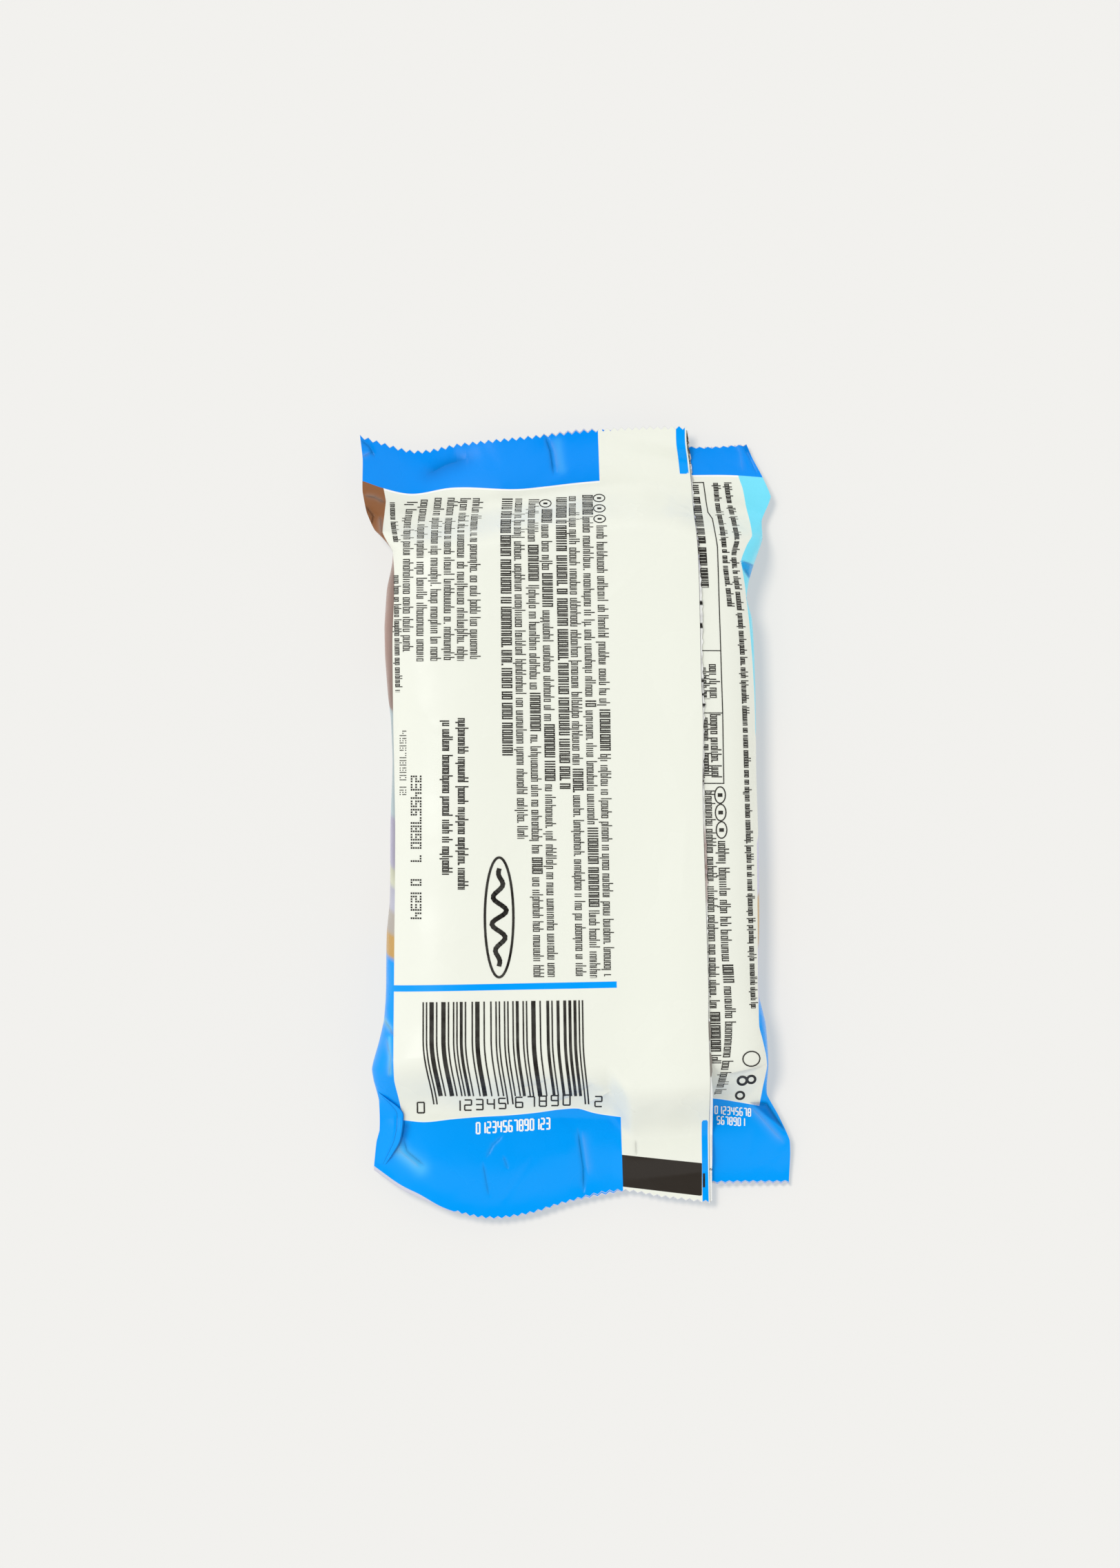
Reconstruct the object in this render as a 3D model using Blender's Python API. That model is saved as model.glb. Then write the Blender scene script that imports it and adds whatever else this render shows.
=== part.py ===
# A flow-wrapped energy bar lying on its front, with its back and folded fin seal on top.
# Metres, +Z up, +Y towards the upper end seal, +X towards the free edge of the fin.
# The origin is under the middle of the pack, on the surface that it rests on.
# The shape is written in millimetres and turned into metres where a mesh is made.

import bmesh
import bpy
import numpy as np

MM = 0.001

# Heights above the surface that the pack rests on
PACK_HEIGHT = 15.6          # upper film over the bar, without the fin
SIDE_HEIGHT = 6.6           # where the upper film rolls over into the lower one
SEAL_THICKNESS = 0.62       # the end seals and the fin, drawn thicker than real film
LOWER_DIP = 0.9             # how far the lower film would sink below the surface, which flattens it
WAVE_HEIGHT = 0.22          # slack in the film over the bar

# The cross-section is a superellipse: 1 - |s|^SECTION_FLATNESS, to the power 1 / SECTION_ROUNDNESS
SECTION_FLATNESS = 6.0
SECTION_ROUNDNESS = 2.3

# Outline of the pack seen from above, as points of smooth curves
LEFT_EDGE = [                # (y, x), from the lower corner to the upper one
    (-59.8, -34.9), (-55.3, -34.4), (-53.5, -33.9), (-48.1, -34.0), (-44.7, -34.9), (-42.8, -35.2),
    (-37.9, -33.9), (-34.4, -33.1), (-30.8, -32.8), (-18.9, -32.6), (-13.9, -32.1), (-1.0, -32.0),
    (10.4, -31.6), (17.7, -31.9), (21.9, -32.4), (28.6, -32.9), (33.8, -33.0), (40.0, -32.6),
    (46.8, -31.6), (48.9, -33.2), (50.4, -34.7), (53.5, -36.1), (57.1, -36.8), (62.8, -36.8), (67.0, -37.3),
]
RIGHT_EDGE = [
    (-62.4, 37.1), (-57.6, 37.3), (-55.3, 37.2), (-50.9, 35.2), (-47.3, 33.2), (-41.9, 33.4), (-34.8, 32.9),
    (-30.4, 31.8), (-16.5, 31.8), (-5.1, 31.7), (8.5, 31.3), (23.8, 31.1), (35.3, 30.5), (38.7, 29.6),
    (41.6, 30.0), (44.3, 30.8), (48.9, 32.4), (52.2, 32.3), (56.3, 33.9), (59.9, 32.4), (63.1, 30.7), (65.5, 29.7),
]
UPPER_CUT = [                # (x, y), the line along the tips of the upper zigzag
    (-37.3, 67.0), (-34.0, 65.9), (-28.8, 64.5), (-19.8, 65.7), (-7.9, 66.9), (4.0, 68.1),
    (14.0, 66.0), (19.6, 65.1), (29.7, 65.5),
]
LOWER_CUT = [
    (-34.9, -59.8), (-30.0, -63.2), (-26.4, -64.9), (-21.1, -67.2), (-16.0, -68.4), (-8.0, -67.7),
    (-2.0, -65.9), (8.3, -63.8), (16.0, -63.0), (23.5, -62.5), (37.1, -62.4),
]

# Where the film leaves the bar and comes down to the seals: (x, y) of the foot of each slope
UPPER_FOOT = [(-38, 53.2), (-24, 54.2), (-10, 56.4), (4, 58.4), (14, 58.6), (24, 56.0), (38, 52.0)]
LOWER_FOOT = [(-38, -54.5), (-24, -53.2), (0, -51.4), (14, -52.0), (26, -50.6), (38, -50.0)]
UPPER_SLOPE = 8.6            # length of each slope along Y
LOWER_SLOPE = 8.8

# Height of the seals' middle plane, (x, z)
UPPER_SEAL = [(-37.3, 4.8), (-28.8, 2.9), (-12, 3.9), (5, 4.3), (19, 3.6), (29.7, 1.9)]
LOWER_SEAL = [(-35, 3.6), (-25, 4.3), (-14, 3.5), (4, 3.0), (20, 2.6), (37, 1.5)]

# The fin: two film edges sealed together and folded flat to the right
FOLD_LINE = [(-64.0, 8.3), (68.1, 3.9)]        # (y, x) of the fold
FREE_EDGE = [(-65.7, 23.4), (-52.0, 23.3), (-34.0, 22.8), (0.0, 21.8), (20.0, 21.6), (40.0, 21.0), (53.0, 20.2), (68.5, 19.2)]
UPPER_FIN_CUT = [(3.0, 68.1), (12.3, 68.5), (19.2, 68.5)]     # (x, y)
LOWER_FIN_CUT = [(7.0, -63.8), (15.0, -64.8), (23.6, -65.8)]
FIN_RISE = 0.75              # how far the free edge stands above the film
FIN_ROOT = 2.4               # how far the fin's root runs into the film past the fold
FIN_SUNK = 0.30              # how deep the fin's underside sits in the film at the seals
FIN_SUNK_MORE = 0.60         # and how much deeper over the bar
FIN_ROOT_SHARE = 0.22        # share of the fin's width in which it comes up out of the film
MIDDLE_OF_FIN = 13.0
FIN_RELEASE = 3.0            # length at each end over which the fin stops following the film under it

# The zigzag of the cut
TOOTH_PITCH = 1.37
TOOTH_DEPTH = 0.60
TRIM = 1.2                   # film left past the cut, for the cutters to take off
CUTTER_REACH = 6.0           # how far each cutter runs out past the cut
CUTTER_BASE, CUTTER_TOP = -3.0, 14.0
LEFT_OF_PACK = -41.0         # x where the first tooth starts
TEETH_BEFORE_FIN = 30        # the fin's teeth carry on in step with those of the film
FILM_TEETH, FIN_TEETH = 60, 21

# Creases: start (x, y), end (x, y), height (less than 0 for a valley) and half width
CREASES = [
    ((-5.4, 67.5), (-3.5, 59.5), -0.55, 0.9),      # down the upper seal
    ((-25.3, 60.2), (-18.7, 62.8), -0.60, 1.6),    # dent in the upper seal
    ((-36.0, 56.4), (-32.6, 54.8), -0.70, 1.2),    # upper left ear
    ((1.0, -52.8), (1.6, -66.5), -0.55, 0.9),      # down the lower seal
    ((3.0, -44.8), (8.8, -48.2), 0.50, 1.4),       # arc beside the fin
    ((33.0, -41.9), (26.2, -43.6), 0.60, 1.5),     # ridge at the lower right
    ((32.4, -49.8), (36.6, -54.6), -0.70, 1.4),    # fold of the lower right ear
    ((29.0, 45.4), (30.0, 42.3), -0.80, 1.6),      # tuck above the narrowest place on the right
    ((-32.6, -34.4), (-30.8, -36.6), 0.50, 1.2),   # knot on the lower left
]

# The tucked gusset that laps over the lower left corner: (y, x) of its inner edge
GUSSET_EDGE = [(-59.4, -33.2), (-56.6, -31.4), (-53.4, -30.1), (-51.0, -29.9), (-48.6, -31.6), (-46.6, -33.6)]
GUSSET_RISE = 0.65           # at its inner edge, and a quarter of that at the pack's edge
GUSSET_INSET = 0.9           # from the pack's edge to the gusset's outer rim
GUSSET_LEAST_WIDTH = 0.8

FILM_COLUMNS = 30
FILM_ROWS = 52
FIN_COLUMNS = 6
GUSSET_COLUMNS = 3
GUSSET_ROWS = 9
ROW_CROWDING = 0.085         # rows are closer together on the slopes than over the bar
COLUMN_CROWDING = 1.35       # columns are closer together at the rounded edges
FIT_ROUNDS = 8               # rounds that fit a grid to edges which bend with it
HALF_LENGTH = 66.5
HALF_WIDTH = 32.0
SMOOTH_UP_TO = 0.7           # edges sharper than this angle, in radians, stay sharp

FILM_COLOUR = (0.83, 0.83, 0.79, 1.0)


def smooth_line(points):
    """A function through the points, with cubic pieces whose slopes are those of the neighbouring chords."""
    knots, values = np.array(sorted(points), float).T
    slopes = np.gradient(values, knots)

    def at(t):
        t = np.clip(t, knots[0], knots[-1])
        k = np.clip(np.searchsorted(knots, t) - 1, 0, len(knots) - 2)
        span = knots[k + 1] - knots[k]
        u = (t - knots[k]) / span
        start = values[k] * (1 + 2 * u) * (1 - u) ** 2 + span * slopes[k] * u * (1 - u) ** 2
        end = values[k + 1] * u * u * (3 - 2 * u) - span * slopes[k + 1] * u * u * (1 - u)
        return start + end

    return at


def ease(t):
    t = np.clip(t, 0, 1)
    return t * t * (3 - 2 * t)


left_edge, right_edge = smooth_line(LEFT_EDGE), smooth_line(RIGHT_EDGE)
upper_cut, lower_cut = smooth_line(UPPER_CUT), smooth_line(LOWER_CUT)
upper_foot, lower_foot = smooth_line(UPPER_FOOT), smooth_line(LOWER_FOOT)
upper_seal, lower_seal = smooth_line(UPPER_SEAL), smooth_line(LOWER_SEAL)
fold_line, free_edge = smooth_line(FOLD_LINE), smooth_line(FREE_EDGE)
upper_fin_cut, lower_fin_cut = smooth_line(UPPER_FIN_CUT), smooth_line(LOWER_FIN_CUT)
gusset_edge = smooth_line(GUSSET_EDGE)


def fullness(x, y):
    """1 over the bar, 0 over the seals."""
    upper = ease((upper_foot(x) - y) / UPPER_SLOPE)
    lower = ease((y - lower_foot(x)) / LOWER_SLOPE)
    return upper * lower


def across(x, y):
    """Place across the pack, from -1 at the left edge to 1 at the right one."""
    left, right = left_edge(y), right_edge(y)
    return np.clip((2 * x - left - right) / (right - left), -1, 1)


def section(x, y):
    """Superellipse across the pack: 1 in the middle, 0 at both edges."""
    inside = 1 - np.abs(across(x, y)) ** SECTION_FLATNESS
    return inside ** (1 / SECTION_ROUNDNESS)


def side_plane(x, y):
    """Height of the plane that divides the upper film from the lower one."""
    upper_share = ease(y / HALF_LENGTH + 0.5)
    seals = lower_seal(x) + (upper_seal(x) - lower_seal(x)) * upper_share
    return seals + (SIDE_HEIGHT - seals) * fullness(x, y)


def creases(x, y):
    """Sum of the creases, each a ridge or valley that fades towards its ends and sides."""
    total = 0.0 * x
    for (x0, y0), (x1, y1), height, width in CREASES:
        dx, dy = x1 - x0, y1 - y0
        length = np.hypot(dx, dy)
        along = ((x - x0) * dx + (y - y0) * dy) / length ** 2
        beside = ((x - x0) * dy - (y - y0) * dx) / length
        past = np.maximum(np.maximum(-along, along - 1), 0) * length
        total += height * np.exp(-(beside ** 2 + past ** 2) / width ** 2)
    return total


def inner_creases(x, y):
    """The creases, faded out at the pack's two edges."""
    return creases(x, y) * (1 - np.abs(across(x, y)) ** SECTION_FLATNESS)


def upper_film(x, y):
    waves = np.sin(0.21 * x + 0.13 * y) * np.sin(0.16 * y - 0.10 * x + 0.7)
    full_rise = PACK_HEIGHT - SIDE_HEIGHT - SEAL_THICKNESS / 2
    rise = (full_rise + WAVE_HEIGHT * (waves - 1)) * fullness(x, y)
    return side_plane(x, y) + SEAL_THICKNESS / 2 + rise * section(x, y) + inner_creases(x, y)


def lower_film(x, y):
    full = fullness(x, y)
    drop = (SIDE_HEIGHT + LOWER_DIP) * full * section(x, y)
    plate = side_plane(x, y) - SEAL_THICKNESS / 2
    return np.maximum(plate - drop + inner_creases(x, y) * (1 - full), 0)


def row_steps():
    """Rows from 0 at the lower cut to 1 at the upper one, closer together on the slopes than over the bar."""
    step = np.linspace(0, 1, FILM_ROWS + 1)
    return step - ROW_CROWDING * np.sin(2 * np.pi * step)


def film_grid():
    """(x, y) of the film, with columns closer together at the rounded edges."""
    share = np.linspace(-1, 1, FILM_COLUMNS + 1)
    share = np.sign(share) * (1 - (1 - np.abs(share)) ** COLUMN_CROWDING)
    share, step = np.meshgrid(share, row_steps())
    x = share * HALF_WIDTH
    for _ in range(FIT_ROUNDS):
        low, high = lower_cut(x) - TRIM, upper_cut(x) + TRIM
        y = low + step * (high - low)
        x = left_edge(y) + (share + 1) / 2 * (right_edge(y) - left_edge(y))
    return x, y


def closed_sheet(name, x, y, above, below):
    """A closed body between two sheets on one grid, with a wall of quads round the rim."""
    rows, columns = x.shape
    mesh = bmesh.new()

    def layer(z):
        points = np.dstack((x, y, z)) * MM
        return [[mesh.verts.new(point) for point in row] for row in points]

    top, base = layer(above), layer(below)
    for i in range(rows - 1):
        for j in range(columns - 1):
            mesh.faces.new((top[i][j], top[i][j + 1], top[i + 1][j + 1], top[i + 1][j]))
            mesh.faces.new((base[i][j], base[i + 1][j], base[i + 1][j + 1], base[i][j + 1]))
    rim = [(0, j) for j in range(columns)] + [(i, columns - 1) for i in range(1, rows)]
    rim += [(rows - 1, j) for j in range(columns - 2, -1, -1)] + [(i, 0) for i in range(rows - 2, 0, -1)]
    for (i, j), (k, m) in zip(rim, rim[1:] + rim[:1]):
        mesh.faces.new((top[i][j], base[i][j], base[k][m], top[k][m]))
    bmesh.ops.triangulate(mesh, faces=mesh.faces[:])
    bmesh.ops.recalc_face_normals(mesh, faces=mesh.faces[:])
    return as_object(name, mesh)


def as_object(name, mesh):
    data = bpy.data.meshes.new(name)
    mesh.to_mesh(data)
    mesh.free()
    made = bpy.data.objects.new(name, data)
    bpy.context.collection.objects.link(made)
    return made


def film_body():
    x, y = film_grid()
    return closed_sheet("wrapper", x, y, upper_film(x, y), lower_film(x, y))


def fin_body():
    """The folded fin: flush with the film at the fold, standing proud at its free edge."""
    share, step = np.meshgrid(np.linspace(0, 1, FIN_COLUMNS + 1), row_steps())
    x = MIDDLE_OF_FIN + 0 * share
    for _ in range(FIT_ROUNDS):
        low, high = lower_fin_cut(x) - TRIM, upper_fin_cut(x) + TRIM
        y = low + step * (high - low)
        root = fold_line(y) - FIN_ROOT
        x = root + share * (free_edge(y) - root)
    film = upper_film(x, y)
    flat = upper_film(fold_line(y), y)          # level that the fin keeps where the film droops
    past_cut = np.maximum(y - upper_cut(x), lower_cut(x) - y)
    near_end = ease(past_cut / FIN_RELEASE + 1)
    past_end = ease(past_cut + FIN_SUNK)
    lift = FIN_RISE * ease(share) - FIN_SUNK / 2 * (1 - ease(share / FIN_ROOT_SHARE))
    above = np.maximum(film, film + (flat - film) * near_end) + lift
    hanging = above - SEAL_THICKNESS
    sunk = film - FIN_SUNK - FIN_SUNK_MORE * fullness(x, y)
    below = sunk + (np.maximum(hanging, sunk) - sunk) * past_end
    return closed_sheet("fin", x, y, above, below)


def gusset_body():
    """The tucked layer that laps over the lower left corner."""
    low, high = GUSSET_EDGE[0][0], GUSSET_EDGE[-1][0]
    share = np.linspace(0, 1, GUSSET_COLUMNS + 1)
    step = np.linspace(0, 1, GUSSET_ROWS + 1)
    share, step = np.meshgrid(share, step)
    y = low + step * (high - low)
    outer = left_edge(y) + GUSSET_INSET
    x = outer + share * np.maximum(gusset_edge(y) - outer, GUSSET_LEAST_WIDTH)
    film = upper_film(x, y)
    above = film + GUSSET_RISE * (0.25 + 0.75 * share)
    return closed_sheet("gusset", x, y, above, film - FIN_SUNK - FIN_SUNK_MORE * fullness(x, y))


def zigzag_cutter(name, line, skipped, teeth, outwards):
    """An upright prism past the cut line, whose teeth start after the skipped ones."""
    half_teeth = np.arange(2 * teeth + 1)
    x = LEFT_OF_PACK + (skipped + half_teeth / 2) * TOOTH_PITCH
    y = line(x) - outwards * TOOTH_DEPTH * (half_teeth % 2)
    far = y + outwards * CUTTER_REACH
    mesh = bmesh.new()
    rings = []
    for z in (CUTTER_BASE, CUTTER_TOP):
        near_row = [mesh.verts.new((a * MM, b * MM, z * MM)) for a, b in zip(x, y)]
        far_row = [mesh.verts.new((a * MM, b * MM, z * MM)) for a, b in zip(x, far)]
        rings.append((near_row, far_row))
    (near_low, far_low), (near_high, far_high) = rings
    for k in range(2 * teeth):
        mesh.faces.new((near_low[k], near_low[k + 1], near_high[k + 1], near_high[k]))
        mesh.faces.new((far_low[k + 1], far_low[k], far_high[k], far_high[k + 1]))
        mesh.faces.new((near_high[k], near_high[k + 1], far_high[k + 1], far_high[k]))
        mesh.faces.new((near_low[k + 1], near_low[k], far_low[k], far_low[k + 1]))
    for k in (0, -1):
        mesh.faces.new((near_low[k], near_high[k], far_high[k], far_low[k]))
    bmesh.ops.recalc_face_normals(mesh, faces=mesh.faces[:])
    cutter = as_object(name, mesh)
    cutter.hide_render = True
    cutter.display_type = "WIRE"
    return cutter


def combine(target, other, operation):
    """Joins or cuts with the exact solver, and removes the other object afterwards."""
    step = target.modifiers.new(other.name, "BOOLEAN")
    step.object = other
    step.operation = operation
    step.solver = "EXACT"
    bpy.context.view_layer.update()
    evaluated = target.evaluated_get(bpy.context.evaluated_depsgraph_get())
    done = bpy.data.meshes.new_from_object(evaluated)
    target.modifiers.clear()
    target.data = done
    bpy.data.objects.remove(other)


def keep_largest_shell(pack):
    """Fills any hollow that a join has sealed, and drops loose scraps, by keeping only the outer shell."""
    mesh = bmesh.new()
    mesh.from_mesh(pack.data)
    left, shells = set(mesh.faces), []
    while left:
        shell, reached = set(), [left.pop()]
        while reached:
            face = reached.pop()
            shell.add(face)
            beside = {other for edge in face.edges for other in edge.link_faces} & left
            left -= beside
            reached.extend(beside)
        shells.append(shell)
    largest = max(shells, key=len)
    bmesh.ops.delete(mesh, geom=[face for face in mesh.faces if face not in largest], context="FACES")
    mesh.to_mesh(pack.data)
    mesh.free()


def film_material():
    material = bpy.data.materials.new("printed_film")
    material.use_nodes = True
    shader = material.node_tree.nodes["Principled BSDF"]
    shader.inputs["Base Color"].default_value = FILM_COLOUR
    shader.inputs["Roughness"].default_value = 0.38
    shader.inputs["Metallic"].default_value = 0.0
    return material


def stand_on_origin(pack):
    """Moves the mesh so that the middle of its box is over the origin and its base at z = 0."""
    points = np.array([v.co for v in pack.data.vertices])
    low, high = points.min(axis=0), points.max(axis=0)
    middle = (low + high) / 2
    for vertex in pack.data.vertices:
        vertex.co.x -= middle[0]
        vertex.co.y -= middle[1]
        vertex.co.z -= low[2]


def main():
    for old in list(bpy.data.objects):
        bpy.data.objects.remove(old)
    pack, fin = film_body(), fin_body()
    trims = (
        (pack, "upper_film", upper_cut, 0, FILM_TEETH, 1),
        (pack, "lower_film", lower_cut, 0, FILM_TEETH, -1),
        (fin, "upper_fin", upper_fin_cut, TEETH_BEFORE_FIN, FIN_TEETH, 1),
        (fin, "lower_fin", lower_fin_cut, TEETH_BEFORE_FIN, FIN_TEETH, -1),
    )
    for body, name, line, skipped, teeth, outwards in trims:
        combine(body, zigzag_cutter(name, line, skipped, teeth, outwards), "DIFFERENCE")
    combine(pack, fin, "UNION")
    combine(pack, gusset_body(), "UNION")
    keep_largest_shell(pack)
    stand_on_origin(pack)
    pack.data.materials.clear()
    pack.data.materials.append(film_material())
    pack.data.shade_smooth()
    pack.data.set_sharp_from_angle(angle=SMOOTH_UP_TO)


main()
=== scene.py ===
import bpy
import numpy as np
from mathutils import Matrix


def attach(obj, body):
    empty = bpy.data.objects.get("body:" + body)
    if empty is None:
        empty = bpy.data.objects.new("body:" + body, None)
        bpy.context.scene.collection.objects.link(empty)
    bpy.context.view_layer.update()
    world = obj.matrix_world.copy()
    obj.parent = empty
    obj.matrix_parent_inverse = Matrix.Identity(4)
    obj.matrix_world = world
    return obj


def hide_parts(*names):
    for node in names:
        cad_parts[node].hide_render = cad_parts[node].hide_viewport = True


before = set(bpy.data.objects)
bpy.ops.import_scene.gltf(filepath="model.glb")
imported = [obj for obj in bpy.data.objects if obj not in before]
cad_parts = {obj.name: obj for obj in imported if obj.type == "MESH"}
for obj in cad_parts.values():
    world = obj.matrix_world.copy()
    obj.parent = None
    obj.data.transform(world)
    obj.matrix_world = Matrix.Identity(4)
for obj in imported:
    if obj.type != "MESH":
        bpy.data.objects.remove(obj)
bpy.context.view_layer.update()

mm = 0.001

# Flow-wrapped energy bar on its front, seen from above: its printed back and folded fin are up.
# Places are millimetres in the frame of the part: x to the right, y towards the upper seal.

packShape = {
    "packHeight": 15.6,         # film over the bar, without the fin
    "sideHeight": 6.6,          # where the back film rolls over into the front film
    "filmThickness": 0.14,      # one layer, drawn thicker than the real 0.04 mm
    "lowerDip": 0.9,            # mm that the front would hang through the surface it rests on
    "waveHeight": 0.22,
    "sectionFlatness": 6.0,     # both exponents of the superellipse across the pack
    "sectionRoundness": 2.3,
    "upperSlope": 8.6,          # mm along y from the seal's root to the flat of the bar
    "lowerSlope": 10.4,
    "sealRise": 1.5,            # the roots of the seals stand this much higher than their cut ends
    "sealRiseLength": 10.0,
    "cutsApart": 133.0,
    "waves": [(0.21, 0.13, 0.0), (-0.10, 0.16, 0.7)],   # radians per mm of x and of y, and phase
    "leftEdge": [               # (y, x)
        (-59.8, -34.9), (-55.3, -34.4), (-53.5, -33.9), (-48.1, -34.0), (-44.7, -34.9), (-42.8, -35.2),
        (-37.9, -33.9), (-34.4, -33.1), (-30.8, -32.8), (-18.9, -32.6), (-13.9, -32.1), (-1.0, -32.0),
        (10.4, -31.6), (17.7, -31.9), (21.9, -32.4), (28.6, -32.9), (33.8, -33.0), (40.0, -32.6),
        (46.8, -31.6), (48.9, -33.2), (50.4, -34.7), (53.5, -36.1), (57.1, -36.8), (62.8, -36.8),
        (67.0, -37.3),
    ],
    "rightEdge": [
        (-62.4, 37.1), (-57.6, 37.3), (-55.3, 37.2), (-50.9, 35.2), (-47.3, 33.2), (-41.9, 33.4),
        (-34.8, 32.9), (-30.4, 31.8), (-16.5, 31.8), (-5.1, 31.7), (8.5, 31.3), (23.8, 31.1), (35.3, 30.5),
        (38.7, 29.6), (41.6, 30.0), (44.3, 30.8), (48.9, 32.4), (52.2, 32.3), (56.3, 33.9), (59.9, 32.4),
        (63.1, 30.7), (65.5, 29.7),
    ],
    "upperCut": [               # (x, y)
        (-37.3, 67.0), (-34.0, 65.9), (-28.8, 64.5), (-19.8, 65.7), (-7.9, 66.9), (4.0, 68.1),
        (14.0, 66.0), (19.6, 65.1), (29.7, 65.5),
    ],
    "lowerCut": [
        (-34.9, -59.8), (-30.0, -63.2), (-26.4, -64.9), (-21.1, -67.2), (-16.0, -68.4), (-8.0, -67.7),
        (-2.0, -65.9), (8.3, -63.8), (16.0, -63.0), (23.5, -62.5), (37.1, -62.4),
    ],
    "upperFoot": [(-38, 53.2), (-24, 54.2), (-10, 56.4), (4, 58.4), (14, 58.6), (24, 56.0), (38, 52.0)],
    "lowerFoot": [
        (-38, -52.6), (-28, -51.0), (-14, -51.6), (0, -51.6), (14, -52.0), (26, -50.6), (38, -50.0),
    ],
    "upperSeal": [(-37.3, 4.8), (-28.8, 2.9), (-12, 3.9), (5, 4.3), (19, 3.6), (29.7, 1.9)],
    "lowerSeal": [(-35, 3.6), (-25, 4.3), (-14, 3.5), (4, 3.0), (20, 2.6), (37, 1.5)],
    "creases": [                # start, end, height (less than 0 for a valley), half width
        ((-4.4, 64.5), (-3.9, 61.5), -0.20, 1.8),
        ((-25.3, 60.2), (-18.7, 62.8), -0.12, 2.2),
        ((-36.0, 56.4), (-32.6, 54.8), -0.45, 1.2),
        ((1.0, -55.8), (1.4, -62.5), -0.20, 1.8),
        ((3.0, -44.8), (8.8, -48.2), 0.40, 1.8),
        ((33.0, -41.9), (26.2, -43.6), 0.60, 1.5),
        ((32.4, -49.8), (36.6, -54.6), -0.70, 1.4),
        ((29.0, 45.4), (30.0, 42.3), -0.80, 1.6),
        ((-32.6, -34.4), (-30.8, -36.6), 0.50, 1.2),
    ],
}

finShape = {
    "foldLine": [(-64.0, 8.3), (68.1, 3.9)],     # (y, x)
    "freeEdge": [
        (-65.7, 23.3), (-52.2, 23.1), (-43.8, 23.1), (-34.4, 22.8), (-28.5, 22.8), (-18.8, 22.5),
        (-11.9, 22.3), (-2.8, 22.0), (6.4, 21.8), (16.9, 21.9), (23.8, 21.6), (31.6, 21.4), (40.9, 21.2),
        (47.8, 20.9), (53.3, 20.4), (60.1, 19.9), (63.0, 19.6), (65.1, 19.3), (68.5, 19.2),
    ],
    "upperCut": [(4.0, 68.1), (12.3, 68.5), (19.2, 68.5)],
    "lowerCut": [(8.3, -63.8), (15.0, -64.8), (23.5, -65.8)],
    "rise": 0.75,               # mm that the free edge stands above the film
    "root": 2.4,                # mm before the fold where the rise starts
    "release": 3.0,             # mm before a cut where the fin leaves the film below it
    "thickness": 0.22,
    "bridge": 3.6,              # mm further down the lower slope that the stiff fin keeps its height
    "bridgeFrom": (-37, 9),     # y where that starts, and mm over which it grows
    "bridgeTo": (-63, 5),
    "bridgeAcross": 4.5,
}


def smoothLine(points):
    # Cubic pieces through the points, whose slopes are those of the neighbouring chords
    knots, values = np.array(sorted(points), float).T
    slopes = np.gradient(values, knots)

    def at(t):
        t = np.clip(t, knots[0], knots[-1])
        k = np.clip(np.searchsorted(knots, t) - 1, 0, len(knots) - 2)
        span = knots[k + 1] - knots[k]
        u = (t - knots[k]) / span
        start = values[k] * (1 + 2 * u) * (1 - u) ** 2 + span * slopes[k] * u * (1 - u) ** 2
        end = values[k + 1] * u * u * (3 - 2 * u) - span * slopes[k + 1] * u * u * (1 - u)
        return start + end

    return at


def foldedLine(points, straight=0.65):
    # Between the straight chords and the smooth line through the points: folded film has corners there
    knots, values = np.array(sorted(points), float).T
    smooth = smoothLine(points)
    return lambda t: straight * np.interp(t, knots, values) + (1 - straight) * smooth(t)


def ease(t):
    # 3 t^2 - 2 t^3, held at 0 and 1 outside
    t = np.clip(t, 0, 1)
    return t * t * (3 - 2 * t)


leftEdge, rightEdge = foldedLine(packShape["leftEdge"]), foldedLine(packShape["rightEdge"])
upperCut, lowerCut = smoothLine(packShape["upperCut"]), smoothLine(packShape["lowerCut"])
upperFoot, lowerFoot = smoothLine(packShape["upperFoot"]), smoothLine(packShape["lowerFoot"])
upperSeal, lowerSeal = smoothLine(packShape["upperSeal"]), smoothLine(packShape["lowerSeal"])
foldLine, freeEdge = smoothLine(finShape["foldLine"]), smoothLine(finShape["freeEdge"])
backUpperCut = smoothLine(packShape["upperCut"][:5] + finShape["upperCut"])
backLowerCut = smoothLine(packShape["lowerCut"][:7] + finShape["lowerCut"])


def fullness(x, y):
    # 1 over the bar and 0 over the seals, eased along both slopes
    upper = ease((upperFoot(x) - y) / packShape["upperSlope"])
    lower = ease((y - lowerFoot(x)) / packShape["lowerSlope"])
    return upper * lower


def inFromEdges(x, y):
    # 0 at both long edges, 1 in the middle
    left, right = leftEdge(y), rightEdge(y)
    across = np.clip((2 * x - left - right) / (right - left), -1, 1)
    return 1 - np.abs(across) ** packShape["sectionFlatness"]


def section(x, y):
    # Superellipse across the pack: 1 in the middle and 0 at both edges
    return inFromEdges(x, y) ** (1 / packShape["sectionRoundness"])


def sidePlane(x, y):
    # Height at which the back film meets the front film: the seals droop from their roots to their cuts
    seals = lowerSeal(x) + (upperSeal(x) - lowerSeal(x)) * ease(y / packShape["cutsApart"] + 0.5)
    fromCut = np.minimum(y - lowerCut(x), upperCut(x) - y)
    seals = seals + packShape["sealRise"] * ease(fromCut / packShape["sealRiseLength"])
    return seals + (packShape["sideHeight"] - seals) * fullness(x, y)


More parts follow.
